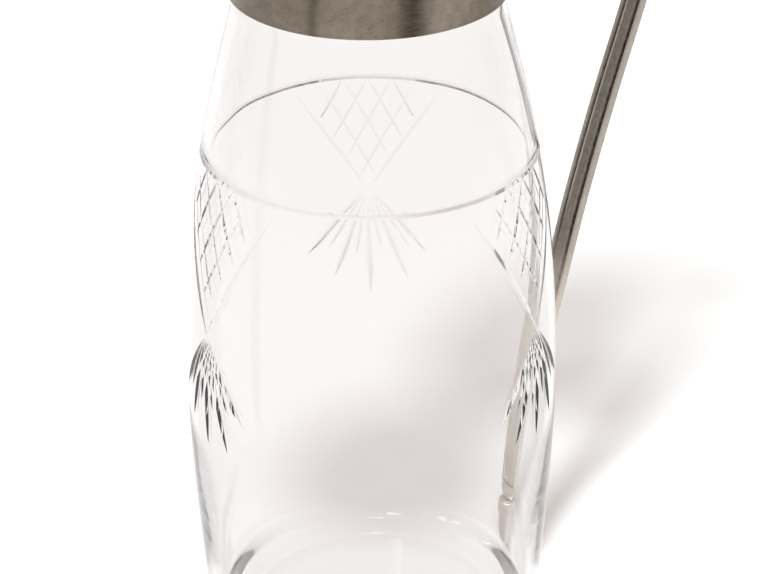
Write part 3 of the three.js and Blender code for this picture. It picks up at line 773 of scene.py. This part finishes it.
glass = new_piece("cut_glass_body", *turned(glass_profile()))
uncut_faces = len(glass.data.polygons)
carved(glass, *batches)
shaded(glass.data, CUT_SHARP)
print("cutting took the body from", uncut_faces, "to", len(glass.data.polygons), "faces")
corners = np.empty(3 * len(glass.data.vertices), np.float32)
glass.data.vertices.foreach_get("co", corners)
paint(glass, "cut", cut_share(corners.reshape(-1, 3) / MM))
finish_piece(glass, clear_glass, "jug", "glass_body")
glass.visible_shadow = False
glass.visible_diffuse = False

# %% [markdown]
# ## Collar, bedding and bead
# The collar is a plain band of thin plate with a crisp lower edge that swells a little. A wire bead covers
# the joint above it. Each is a closed outline with its corners eased, because a worn edge is what catches
# light. Upright dark stripes are painted on the band as painted reflections: soft bumps of a value round
# it.

# %% Collar, bedding and bead
COLLAR_LIFT = 0.6
COLLAR_OUTER = THROAT_RADIUS + 1.0
COLLAR_INNER = THROAT_RADIUS + 0.3
COLLAR_TAPER = 0.4
EDGE_SWELL = 0.1
CEMENT_INNER = RIM_RADIUS + 0.3
BEAD_INNER = RIM_RADIUS - 0.4
BEAD_BULGE = 1.2
# Painted reflections: dark upright stripes on the collar, each given by its angle, width and depth.
PAINTED_REFLECTIONS = [(255.5, 6.5, 0.80), (216, 2.3, 0.45), (296, 10, 0.35), (194, 10, 0.2)]


def collar_profile():
    """A band that leans in by COLLAR_TAPER towards its top and swells by EDGE_SWELL over its lower edge."""
    bottom, top = collar_low[2] + COLLAR_LIFT, collar_high[2]
    edge = [(COLLAR_INNER, bottom), (COLLAR_OUTER, bottom)]
    edge += [(COLLAR_OUTER + EDGE_SWELL, bottom + 0.3), (COLLAR_OUTER, bottom + 0.8)]
    return rounded([*edge, (COLLAR_OUTER - COLLAR_TAPER, top), (COLLAR_INNER - COLLAR_TAPER, top)], 0.25)


def painted_reflection_at(points):
    """Upright painted reflections on the collar, dark stripes: for each, depth x exp(-((angle - middle) /
    width)^2).
    """
    angle = np.degrees(np.arctan2(points[:, 1], points[:, 0])) % 360
    return sum(depth * np.exp(-(((angle - middle) / width) ** 2)) for middle, width, depth in PAINTED_REFLECTIONS)


def cement_profile():
    """A flat ring with eased corners."""
    low, high = box_mm("rim_cement")
    lower = [(CEMENT_INNER, low[2]), (high[0], low[2])]
    return rounded([*lower, (high[0], high[2]), (CEMENT_INNER, high[2])], 0.2)


def bead_profile():
    """A flat ring with a half round outer edge."""
    low, high = box_mm("collar_bead")
    return join((BEAD_INNER, low[2]), half_round(low, high, BEAD_BULGE, 17), (BEAD_INNER, high[2]))


collar_points, collar_faces = turned(collar_profile())
collar = new_piece("collar", collar_points, collar_faces)
# The collar's painted value holds only these painted reflections.
paint(collar, "tarnish_and_painted_light", painted_reflection_at(collar_points))
finish_piece(collar, mount_plate, "jug", "collar_band")
finish_piece(new_piece("bedding", *turned(cement_profile())), plaster, "jug", "rim_cement")
mount_piece("bead", turned(bead_profile()), "jug", "collar_bead")

# %% [markdown]
# ## Neck, spout and mouth
# The neck is spun from sheet: it sweeps in from the bead to a waist and flares to the mouth. The spout is
# a raised trough soldered over a window in the neck. Its sections are half ellipses that shrink from the
# neck to the tip while its rim climbs. The same formula, one wall smaller, cuts the window.

# %% Neck outline and spout formula
neck_low, neck_high = box_mm("neck_mount")
mouth_low, mouth_high = box_mm("mouth_rim")
spout_low = box_mm("spout")[0]
NECK_WALL = 1.1
NECK_FOOT_RADIUS = 31.9
WAIST_RADIUS = 21.6
WAIST_HEIGHT = neck_low[2] + 18.3
MOUTH_RADIUS = 24.1
WIRE_RADIUS = 1.4
WIRE_RING = MOUTH_RADIUS - 0.3
WIRE_HEIGHT = mouth_low[2] + WIRE_RADIUS
SPOUT_WALL = 1.1
SPOUT_HALF_WIDTH = 16.4
SPOUT_DEPTH = 20.2
TIP_HALF_WIDTH = 2.4
TIP_DEPTH = 3.2
SPOUT_LIFT = 4.5
SPOUT_ROOT = WAIST_RADIUS - 3.6
SPOUT_REACH = -spout_low[0] - SPOUT_ROOT
WINDOW_BEHIND = -0.25
WINDOW_HEAD = 8


def neck_outline():
    """Two curves that meet upright at the waist: a sweep up from the bead and a flare to the mouth."""
    foot, top = neck_low[2], neck_high[2]
    waist = (WAIST_RADIUS, WAIST_HEIGHT)
    sweep = curve((NECK_FOOT_RADIUS, foot), (25.5, foot + 2.7), (WAIST_RADIUS, foot + 10.2), waist, 30)
    flare = curve(waist, (WAIST_RADIUS, WAIST_HEIGHT + 5.5), (22.6, top - 3), (MOUTH_RADIUS, top), 18)
    return join(sweep, flare)


def neck_profile():
    """The outline and the same line one wall inside it, cut level at both ends."""
    skin = neck_outline()
    inside = beside(skin, -NECK_WALL)[::-1]
    inside[0, 1] = neck_high[2]
    inside[-1, 1] = neck_low[2]
    return join(skin, inside)


def spout_loops(shares, wall, head=None, count=33):
    """Sections of the trough, for s the share of the way from root to tip and a from -90 to 90 degrees:

    y = half width x sin a and z = rim - depth x cos a. Half width falls as (1-s)^0.8, depth as (1-s)^1.7,
    and the rim climbs as s^1.5. A wall gives the inside. A head closes the section that much above it."""
    s = np.array(shares, float)[:, None]
    left = np.clip(1 - s, 0, None)
    half_width = (SPOUT_HALF_WIDTH - TIP_HALF_WIDTH) * left**0.8 + TIP_HALF_WIDTH - wall
    depth = (SPOUT_DEPTH - TIP_DEPTH) * left**1.7 + TIP_DEPTH - wall
    rim = WIRE_HEIGHT + WIRE_RADIUS * 0.7 + SPOUT_LIFT * np.clip(s, 0, None) ** 1.5
    turn = np.linspace(-math.pi / 2, math.pi / 2, count)[None, :]
    y = half_width * np.sin(turn)
    z = rim - depth * np.cos(turn)
    x = np.broadcast_to(-(SPOUT_ROOT + SPOUT_REACH * s), y.shape)
    arc = np.stack([x, y, z], axis=-1)
    if head is None:
        return arc
    ends = np.stack([arc[:, -1] + (0, 0, head), arc[:, 0] + (0, 0, head)], axis=1)
    return np.concatenate([arc, ends], axis=1)


def spout_shell():
    """Outside and inside arcs of each section, joined over the rim by a half round."""
    shares = np.linspace(0.0, 1.0, 40)
    outside_arc = spout_loops(shares, 0)
    inside_arc = spout_loops(shares, SPOUT_WALL)
    turn = np.linspace(0, math.pi, 7)[1:-1][None, :, None]
    right, left = ((outside_arc[:, i] + inside_arc[:, i])[:, None] / 2 for i in (-1, 0))
    across = np.array([0, SPOUT_WALL / 2, 0])
    up = np.array([0, 0, SPOUT_WALL / 2])
    right_edge = right + across * np.cos(turn) + up * np.sin(turn)
    left_edge = left + across * np.cos(turn) + up * np.sin(turn)
    return lofted(np.concatenate([outside_arc, right_edge, inside_arc[:, ::-1], left_edge], axis=1))


def spout_window():
    """The inside of the trough, run back through the wall of the neck and closed well above the mouth."""
    return lofted(spout_loops(np.linspace(WINDOW_BEHIND, 1, 30), SPOUT_WALL, head=WINDOW_HEAD))


def neck_core():
    """The space inside the neck's wall, which the spout's root is trimmed to."""
    skin = beside(neck_outline(), -NECK_WALL * 0.5)
    foot, top = neck_low[2] - 1, mouth_high[2] + WINDOW_HEAD
    return turned(join((0, foot), (skin[0, 0], foot), skin, (skin[-1, 0], top), (0, top)))


print("the spout reaches", round(SPOUT_REACH, 1), "mm from its root")

# %% [markdown]
# The neck and the wire round its mouth are whole rings first. The inside of the spout is then taken out
# of both, and the inside of the neck out of the spout, so that the drink has one open way.

# %% Neck, mouth and spout
neck = carved(new_piece("neck", *turned(neck_profile())), spout_window())
finish_piece(neck, mount_plate, "jug", "neck_mount")

turn = np.arange(24) * 2 * math.pi / 24
wire = np.stack([WIRE_RING + WIRE_RADIUS * np.cos(turn), WIRE_HEIGHT + WIRE_RADIUS * np.sin(turn)], axis=1)
mouth = carved(new_piece("mouth_wire", *turned(wire)), spout_window())
finish_piece(mouth, mount_plate, "jug", "mouth_rim")

spout = carved(new_piece("pouring_spout", *spout_shell()), neck_core())
finish_piece(spout, mount_plate, "jug", "spout")

# %% [markdown]
# ## The lid
# The lid is a flat rim with a stepped dome soldered on it, a ring below that drops into the mouth, and a
# turned bud to lift it by. All are turned forms, so each is one outline.

# %% Lid pieces
rim_low, rim_high = box_mm("lid_rim")
bezel_low, bezel_high = box_mm("lid_bezel")
dome_low, dome_high = box_mm("lid_dome")
finial_low, finial_high = box_mm("lid_finial")
LID_WALL = 1.1
COVE_RADIUS = 19.5
COVE_RISE = 3.4
LID_STEP = 0.8
FLANGE_GAP = 0.3
FLANGE_BULGE = 0.6
BEZEL_WALL = 0.8


def lid_rim_profile():
    """A flat ring round the bezel with a half round outer edge."""
    inner = bezel_high[0] + FLANGE_GAP
    return join((inner, rim_low[2]), half_round(rim_low, rim_high, FLANGE_BULGE, 13), (inner, rim_high[2]))


def bezel_profile():
    """A short upright tube with eased corners."""
    inner = bezel_high[0] - BEZEL_WALL
    corners = [(inner, bezel_low[2]), (bezel_high[0], bezel_low[2])]
    return rounded([*corners, (bezel_high[0], bezel_high[2]), (inner, bezel_high[2])], 0.25)


def dome_profile():
    """A low step, a hollow cove and a round dome from the edge to the crown, and a wall's width inside."""
    foot, crown, radius = dome_low[2], dome_high[2], dome_high[0]
    step = foot + LID_STEP
    shelf = (COVE_RADIUS, step + COVE_RISE)
    rise = crown - shelf[1]
    cove = curve((radius, step), (radius - 2.2, step + 0.4), (COVE_RADIUS + 0.3, shelf[1] - 1.6), shelf, 14)
    dome_pull = (COVE_RADIUS - 0.8, shelf[1] + rise * 0.62)
    dome = curve(shelf, dome_pull, (COVE_RADIUS * 0.45, crown), (0, crown), 26)
    skin = join(cove, dome)
    inside = beside(skin, -LID_WALL)
    inside[-1] = (0, crown - LID_WALL)
    inside = inside[(inside[:, 1] > foot) & (inside[:, 0] >= 0)]
    return join((0, crown), skin[::-1], (radius, foot), (inside[0, 0] - 0.4, foot), inside)


def bud_outline(radius, length, count=40):
    """A turned bud from its seat at height 0: a small base ring, a neck, and a swelling that closes in.

    The swelling is radius x sin(pi x q) ^ 0.62 with q the eased share of the way up it."""
    t = np.linspace(0, 1, count)
    q = 0.16 + 0.84 * t**0.9
    width = radius * np.sin(math.pi * np.clip(q, 0, 1)) ** 0.62
    swell = np.stack([width, length * (0.12 + 0.88 * t)], axis=1)
    swell[-1, 0] = 0
    seat = [(0, 0), (radius * 0.62, 0), (radius * 0.68, length * 0.035), (radius * 0.62, length * 0.07)]
    return join(seat, (radius * 0.52, length * 0.1), swell)


mount_piece("lid_flange", turned(lid_rim_profile()), "lid", "lid_rim")
mount_piece("lid_collar", turned(bezel_profile()), "lid", "lid_bezel")
mount_piece("lid_cover", turned(dome_profile()), "lid", "lid_dome")
bud_points, bud_faces = turned(bud_outline(finial_high[0], finial_high[2] - finial_low[2]), SMALL_STEPS)
mount_piece("lid_knop", (bud_points + (0, 0, finial_low[2]), bud_faces), "lid", "lid_finial")

# %% [markdown]
# ## Hinge, thumb piece and bracket
# These are cast and filed pieces with flat sides. Their frame shapes are right, so each is a copy of the
# frame's piece with its corners merged, its flat faces joined and its edges eased by a bevel.

# %% Filed pieces
SAME_POINT = 0.002
FLAT = math.radians(0.5)
FILED = {
    "lid_leaf": ("hinge_leaf", "lid", 0.25),
    "thumb_piece": ("thumb_lever", "lid", 0.45),
    "hinge_knuckle_left": ("knuckle_left", "jug", 0.25),
    "hinge_knuckle_right": ("knuckle_right", "jug", 0.25),
    "handle_bracket": ("bracket", "jug", 0.4),
}


def filed_copy(node, name, ease):
    """The frame's piece with merged corners, joined flat faces and edges rounded by ease millimetres."""
    mesh = bpy.data.meshes.new(name)
    work = bmesh.new()
    work.from_mesh(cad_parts[node].data)
    bmesh.ops.remove_doubles(work, verts=work.verts, dist=SAME_POINT * MM)
    bmesh.ops.dissolve_limit(work, angle_limit=FLAT, verts=work.verts, edges=work.edges)
    work.to_mesh(mesh)
    work.free()
    shaded(mesh, SHARP)
    piece = placed(name, mesh)
    bevel = piece.modifiers.new("eased_edges", "BEVEL")
    bevel.width = ease * MM
    bevel.segments = 3
    bevel.limit_method = "ANGLE"
    bevel.angle_limit = SHARP
    bevel.use_clamp_overlap = True
    bevel.harden_normals = True
    return piece


for node, (name, body, ease) in FILED.items():
    finish_piece(filed_copy(node, name, ease), mount_plate, body, node)

# %% [markdown]
# The hinge pin is a rod with a low dome hammered on each end, and so are both rivets that hold the strap.
# One outline serves all three: a quarter ellipse, a straight shaft and a second quarter ellipse.

# %% Hinge pin and rivets
pin_low, pin_high = box_mm("hinge_pin")
PIN_SHAFT = 1.1
PIN_HEAD = 1.8
PIN_HEAD_HEIGHT = 1.08
RIVET_SHAFT = 1.0
RIVET_HEAD = 2.1
RIVET_HEAD_HEIGHT = 1.2
RIVET_SEATS = (0.8, 1.3)


def laid_along_y(points, centre):
    """A form turned about the upright axis, laid along Y and moved: (x, y, z) becomes (x, -z, y)."""
    return np.stack([points[:, 0], -points[:, 2], points[:, 1]], axis=1) + centre


def headed_profile(shaft, head, low, high, head_height):
    """A plain shaft from low to high with a domed head beyond each end: (head sin a, head height cos a)."""
    turn = np.linspace(0, math.pi / 2, 9)
    dome = np.stack([head * np.sin(turn), head_height * np.cos(turn)], axis=1)
    top = dome + (0, high)
    bottom = (dome * (1, -1) + (0, low))[::-1]
    return join(top, (shaft, high), (shaft, low), bottom)[::-1]


pin_half = pin_high[1] - PIN_HEAD_HEIGHT
pin_outline = headed_profile(PIN_SHAFT, PIN_HEAD, -pin_half, pin_half, PIN_HEAD_HEIGHT)
points, faces = turned(pin_outline, SMALL_STEPS)
hinge_place = np.array([(pin_low[0] + pin_high[0]) / 2, 0, (pin_low[2] + pin_high[2]) / 2])
pin = new_piece("pin", laid_along_y(points, hinge_place), faces)
finish_piece(pin, small_plate, "jug", "hinge_pin")

for side in ("inner", "outer"):
    low, high = box_mm(f"handle_rivet_{side}")
    seat, top = low[2] + RIVET_SEATS[0], high[2] - RIVET_SEATS[1]
    rivet_outline = headed_profile(RIVET_SHAFT, RIVET_HEAD, seat, top, RIVET_HEAD_HEIGHT)
    points, faces = turned(rivet_outline, SMALL_STEPS)
    rivet = new_piece(f"rivet_{side}", points + ((low[0] + high[0]) / 2, 0, 0), faces)
    finish_piece(rivet, small_plate, "jug", f"handle_rivet_{side}")

# %% [markdown]
# ## The strap handle
# The strap is one long drawn strip with a moulded section: a stout flat-sided bead along each edge, a
# deep groove inside it, a fine ridge, and a nearly flat field with fine reeds. It leaves the bracket,
# swings out over the hand and comes down close beside the glass, where it ends free in a flattened block
# and a drop. Bending a ready-made bar would pinch the grooves, so one section is carried along one line.

# %% The line of the handle
strap_low, strap_high = box_mm("handle_strap")
HANDLE_ROUTE = [
    (33.7, 229.35), (45.7, 229.35), (62.7, 227.75), (76.9, 219.35), (84.4, 205.35),
    (85.9, 190.35), (82.9, 177.35), (78.8, 163.75), (70.06, 137.65), (62.22, 111.54),
    (55.8, 86.6), (51.35, 70.0), (48.95, 57.0), (47.75, 44.0), (47.53, 29.5),
]


def handle_line(count):
    """A smooth line through the route's points, in the plane of spout and handle.

    Between two points it is the Hermite curve whose tangents weigh the neighbouring chords by the square
    roots of their lengths, which keeps it from swinging out where the points lie close together."""
    p = np.array(HANDLE_ROUTE, float)
    p = np.concatenate([[2 * p[0] - p[1]], p, [2 * p[-1] - p[-2]]])
    gap = np.sqrt(np.linalg.norm(np.diff(p, axis=0), axis=1))[:, None]
    before, here, after = gap[:-2], gap[1:-1], gap[2:]
    p0, p1, p2, p3 = p[:-3], p[1:-2], p[2:-1], p[3:]
    leave = ((p1 - p0) / before - (p2 - p0) / (before + here) + (p2 - p1) / here) * here
    arrive = ((p2 - p1) / here - (p3 - p1) / (here + after) + (p3 - p2) / after) * here
    place = np.linspace(0, len(p1), count, endpoint=True)
    segment = np.minimum(place.astype(int), len(p1) - 1)
    t = (place - segment)[:, None]
    weights = [2 * t**3 - 3 * t**2 + 1, t**3 - 2 * t**2 + t, -2 * t**3 + 3 * t**2, t**3 - t**2]
    values = [p1[segment], leave[segment], p2[segment], arrive[segment]]
    return sum(w * v for w, v in zip(weights, values))


steps_along = np.linalg.norm(np.diff(handle_line(400), axis=0), axis=1)
print("the handle's line is", steps_along.sum().round(1), "mm long")

# %% [markdown]
# The section is drawn by one formula for half its width and mirrored twice. The same formula says how
# dark each point of it is: black in the grooves, partly tarnish and partly painted shade, greyer on the
# field, bright where the hand wears it. Carried along the line, it gives a grid of points and a painted
# value for each.

# %% The strap's section
STRAP_HALF_WIDTH = (strap_high[1] - strap_low[1]) / 2
EDGE_HALF_THICKNESS = 0.95
FIELD_HALF_THICKNESS = 0.78
GROOVE_HALF_THICKNESS = 0.45
REED_PITCH = 0.62
REED_HEIGHT = 0.03
REEDS_TO = 1.1
RIDGE_AT = 1.45
RIDGE_HEIGHT = 0.14
RIDGE_WIDTH = 0.2
GROOVE_FROM = 1.85
FILLET_FROM = 3.15
CORNER_WIDTH = 0.3
STRAP_SHARP = math.radians(50)
FIELD_TARNISH = 0.5
LIT_GROOVE_SHARE = 0.55
PALE_BELOW = 72
DARK_ABOVE = 106
UPPER_DARKENING = 0.39
HIGHLIGHT_ABOVE = 106
HIGHLIGHT_WIDTH = 0.26


def strap_face():
    """One face of the section from its middle to its edge: width across, height and a painted value 0 to 1.

    Height is a reeded field with a ridge at its border, a cove that falls to the groove's bottom, and a
    narrow raised fillet whose outer corner is rounded off."""
    across = np.concatenate([np.linspace(0, 1.8, 19), np.linspace(1.9, STRAP_HALF_WIDTH, 30)])
    reeds = REED_HEIGHT * np.cos(across * 2 * math.pi / REED_PITCH) * (across < REEDS_TO)
    ridge = RIDGE_HEIGHT * np.exp(-(((across - RIDGE_AT) / RIDGE_WIDTH) ** 2))
    falling = eased(across, GROOVE_FROM - 0.2, GROOVE_FROM + 0.25)
    rising = eased(across, FILLET_FROM - 0.3, FILLET_FROM + 0.1)
    field = (FIELD_HALF_THICKNESS + reeds + ridge) * (1 - falling) + GROOVE_HALF_THICKNESS * falling
    height = field * (1 - rising) + EDGE_HALF_THICKNESS * rising
    corner = np.clip((across - (STRAP_HALF_WIDTH - CORNER_WIDTH)) / CORNER_WIDTH, 0, 1)
    height *= np.sqrt(1 - 0.999 * corner**4)
    # Dark in the groove, partly tarnish and partly painted shade, grey on the field, clear on the fillet.
    tarnish_and_painted_light = (FIELD_TARNISH * (1 - falling) + falling) * (1 - rising)
    return across, height, tarnish_and_painted_light - 0.15 * (ridge > RIDGE_HEIGHT / 2)


def strap_section():
    """The closed section, both faces alike, as points (across, height), and the painted value at each.

    The groove on one side is painted lighter as a lit side, and the other stays dark as painted shade."""
    across, height, tarnish_and_painted_light = strap_face()
    # Painted light: the groove on one side is lightened where light falls into it.
    lit_groove = tarnish_and_painted_light * (1 - LIT_GROOVE_SHARE * eased(across, GROOVE_FROM + 0.1, FILLET_FROM))
    both_sides = np.concatenate([-across[:0:-1], across])
    top = np.stack([both_sides, np.concatenate([height[:0:-1], height])], axis=1)
    top_painted_value = np.concatenate([tarnish_and_painted_light[:0:-1], lit_groove])
    bottom = top[-2:0:-1] * (1, -1)
    return np.concatenate([top, bottom]), np.concatenate([top_painted_value, top_painted_value[-2:0:-1]])


def strap(steps=220):
    """The section carried along the line: line + across x Y + height x the line's normal.

    The whole upper part is a little darker, and the ridge on one side carries a painted highlight.
    Towards the lower end the darkening and the dark of the field and grooves fade out."""
    line = handle_line(steps)
    line[0, 0] = strap_low[0]
    along = np.gradient(line, axis=0)
    along /= np.linalg.norm(along, axis=1)[:, None]
    normal = np.stack([-along[:, 1], np.zeros(steps), along[:, 0]], axis=1)
    centre = np.stack([line[:, 0], np.zeros(steps), line[:, 1]], axis=1)
    section, tarnish_and_painted_light = strap_section()
    across = np.array([0, 1, 0])
    loops = centre[:, None] + section[None, :, :1] * across + section[None, :, 1:] * normal[:, None]
    # Darker towards the top: an even share of darkening that fades out towards the lower end.
    held = eased(line[:, 1], PALE_BELOW, DARK_ABOVE)[:, None]
    upper_dark = UPPER_DARKENING + (1 - UPPER_DARKENING) * tarnish_and_painted_light
    # A painted highlight: the ridge on one side is left bright on the upper part.
    crest = np.exp(-(((section[:, 0] - RIDGE_AT) / HIGHLIGHT_WIDTH) ** 2))
    painted_highlight = crest * eased(line[:, 1], HIGHLIGHT_ABOVE, HIGHLIGHT_ABOVE + 10)[:, None]
    return lofted(loops), (held * upper_dark * (1 - painted_highlight)).ravel()


(points, faces), strap_painted_value = strap()
handle = new_piece("strap", points, faces, sharp=STRAP_SHARP)
paint(handle, "tarnish_and_painted_light", strap_painted_value)
finish_piece(handle, strap_plate, "jug", "handle_strap")

# %% [markdown]
# The lower end was turned and then filed flat. The block narrows from the strap's width to a thin neck,
# and the drop below it is a ring over a plain peg with a rounded tip. Both are turned outlines here, and
# the block is squeezed to the strap's thickness.

# %% The strap's lower end
ferrule_low, ferrule_high = box_mm("handle_knuckle")
tip_low, tip_high = box_mm("handle_bud")
PINCH_RADIUS = 2.3
DROP_RING_HEIGHT = 3.6
DROP_RING_EASE = 0.5
PEG_RADIUS = 2.75
PEG_TIP_RADIUS = 2.3


def ferrule_profile():
    """The block as one curve from the neck of the ring, height 0, out to the strap's width."""
    length = ferrule_high[2] - ferrule_low[2]
    radius = (ferrule_high[1] - ferrule_low[1]) / 2
    pulls = [(radius, length * 0.3), (radius, length * 0.5)]
    taper = curve((PINCH_RADIUS, 0), *pulls, (radius, length * 0.8), 14)
    return join((0, 0), taper, (STRAP_HALF_WIDTH, length), (0, length))


def drop_profile():
    """The drop from its top down: an eased ring, a straight peg and a tip.

    The tip is a quarter circle, radius = r cos a and height = length - r (1 - sin a)."""
    tip = tip_high[2] - tip_low[2]
    ring_radius = (tip_high[1] - tip_low[1]) / 2
    ring_end = DROP_RING_EASE + DROP_RING_HEIGHT
    ring = [(PINCH_RADIUS, 0), (PINCH_RADIUS, DROP_RING_EASE / 2), (ring_radius, DROP_RING_EASE / 2)]
    ring += [(ring_radius, ring_end), (PEG_RADIUS - 0.2, ring_end)]
    turn = np.linspace(0, math.pi / 2, 12)
    end = np.stack([PEG_TIP_RADIUS * np.cos(turn), tip - PEG_TIP_RADIUS * (1 - np.sin(turn))], axis=1)
    end[-1, 0] = 0
    shoulder = rounded([(0, 0), *ring, (PEG_RADIUS, ring_end + 1.2)], 0.5, count=7, closed=False)
    return join(shoulder, end)


flatness = (ferrule_high[0] - ferrule_low[0]) / (ferrule_high[1] - ferrule_low[1])
end_x = (ferrule_high[0] + ferrule_low[0]) / 2
points, faces = turned(ferrule_profile(), SMALL_STEPS)
ferrule = new_piece("ferrule", points * (flatness, 1, 1) + (end_x, 0, ferrule_low[2]), faces)
finish_piece(ferrule, small_plate, "jug", "handle_knuckle")

points, faces = turned(drop_profile(), SMALL_STEPS)
drop = new_piece("drop_bud", points * (1, 1, -1) + (end_x, 0, tip_high[2]), faces)
finish_piece(drop, small_plate, "jug", "handle_bud")

# %% [markdown]
# ## The sheet
# The carafe was photographed on a white sheet, lit until the white was overexposed. Here the white comes
# from the colour of the sheet and a little light of its own that only the camera, mirrors and glass see,
# so the object isn't overlit and its shadow stays. Far away the sheet fades to a pale grey, which gives a
# low view a soft horizon.

# %% Floor
FLOOR_HALF = 4.0
FLOOR_DROP = 0.0002
FLOOR_COLOUR = colour(0.985, 0.980, 0.978)
FLOOR_FAR_SHADE = colour(0.80, 0.79, 0.78)
FLOOR_LIFT = colour(0.12, 0.12, 0.12)
FLOOR_ROUGHNESS = 0.9
NO_LIGHT = colour(0, 0, 0)
WHITE_TO = 0.55
GREY_FROM = 1.3


def looked_at(tree):
    """Two wires, 0 or 1: is the ray the camera's, and does the camera, a mirror or glass look along it."""
    rays = tree.nodes.new("ShaderNodeLightPath")
    kinds = ("Is Camera Ray", "Is Glossy Ray", "Is Transmission Ray")
    camera_ray, glossy_ray, clear_ray = (Wire(tree, rays.outputs[kind]) for kind in kinds)
    return camera_ray, (camera_ray + glossy_ray + clear_ray).between(0, 1)


sheet, sheet_shader, sheet_place = new_finish("white_sheet")
away = sheet_place.node("ShaderNodeVectorMath", {"operation": "LENGTH"}, {0: sheet_place}, output="Value")
far = away.between(WHITE_TO, GREY_FROM)
_, sheet_seen = looked_at(sheet.node_tree)
# Far off the sheet's colour turns to a pale grey, painted shade.
feed(sheet_shader, "Base Color", far.colours(FLOOR_COLOUR, FLOOR_FAR_SHADE))
feed(sheet_shader, "Emission Color", (sheet_seen * (1 - far)).colours(NO_LIGHT, FLOOR_LIFT))
sheet_shader.inputs["Emission Strength"].default_value = 1.0
sheet_shader.inputs["Roughness"].default_value = FLOOR_ROUGHNESS
sheet_shader.inputs["Specular IOR Level"].default_value = 0.0

floor_mesh = bpy.data.meshes.new("floor")
square = [(-1, -1), (1, -1), (1, 1), (-1, 1)]
corners = [(x * FLOOR_HALF, y * FLOOR_HALF, -FLOOR_DROP) for x, y in square]
floor_mesh.from_pydata(corners, [], [(0, 1, 2, 3)])
floor_mesh.materials.append(sheet)
floor = placed("floor", floor_mesh)
print("the sheet is", 2 * FLOOR_HALF, "m wide")

# %% [markdown]
# ## Lamps and sky
# Two soft lamps high on the left throw two blurred shadows of the mount behind the carafe, and an even
# sky fills them. Suns are used because the lamps were far away for their size. Mirrors and glass see
# a sky that is as pale as the far sheet low down and greyer above, as a room over a white sheet is. Each
# lamp is given by its direction round the axis, its height over the horizon and its strength.

# %% Lamps and sky
LAMPS = {"lamp_high": (233.4, 68.3, 1.27), "lamp_side": (218.7, 50.5, 1.65)}
LAMP_COLOUR = (0.90, 1.0, 1.03)
LAMP_WIDTH = math.radians(9.0)
SKY_FILL = 0.312
SKY_FILL_TINT = (1, 0.75, 0.67)
SKY_PALE = colour(0.80, 0.79, 0.78)
SKY_GREY = colour(0.48, 0.47, 0.46)
GREY_AT = 0.85

for name, (azimuth, elevation, strength) in LAMPS.items():
    lamp = bpy.data.lights.new(name, "SUN")
    lamp.energy = strength
    lamp.color = LAMP_COLOUR
    lamp.angle = LAMP_WIDTH
    a, e = math.radians(azimuth), math.radians(elevation)
    towards = Vector((math.cos(a) * math.cos(e), math.sin(a) * math.cos(e), math.sin(e)))
    facing_carafe = towards.to_track_quat("Z", "Y").to_matrix().to_4x4()
    placed(name, lamp).matrix_world = Matrix.Translation(towards) @ facing_carafe

world = bpy.data.worlds.new("studio")
bpy.context.scene.world = world
world.use_nodes = True
sky = Wire(world.node_tree, world.node_tree.nodes.new("ShaderNodeTexCoord").outputs["Generated"])
height = sky.node("ShaderNodeSeparateXYZ", {}, {"Vector": sky}, output="Z")
seen_by_glass = height.between(0, GREY_AT).colours(SKY_PALE, SKY_GREY)
camera_ray, sky_seen = looked_at(world.node_tree)
mirrored = camera_ray.colours(seen_by_glass, SKY_PALE)
fill = colour(*(SKY_FILL * share for share in SKY_FILL_TINT))
feed(world.node_tree.nodes["Background"], "Color", sky_seen.colours(fill, mirrored))
print("lamps:", list(LAMPS))

# %% [markdown]
# Light crosses the walls of the glass many times before it leaves the thick floor, so paths get enough
# bounces not to end black in it.

# %% Light paths in glass
LIGHT_BOUNCES = 48
cycles = bpy.context.scene.cycles
cycles.transmission_bounces = LIGHT_BOUNCES
cycles.glossy_bounces = LIGHT_BOUNCES
cycles.max_bounces = LIGHT_BOUNCES
print("up to", cycles.max_bounces, "bounces")
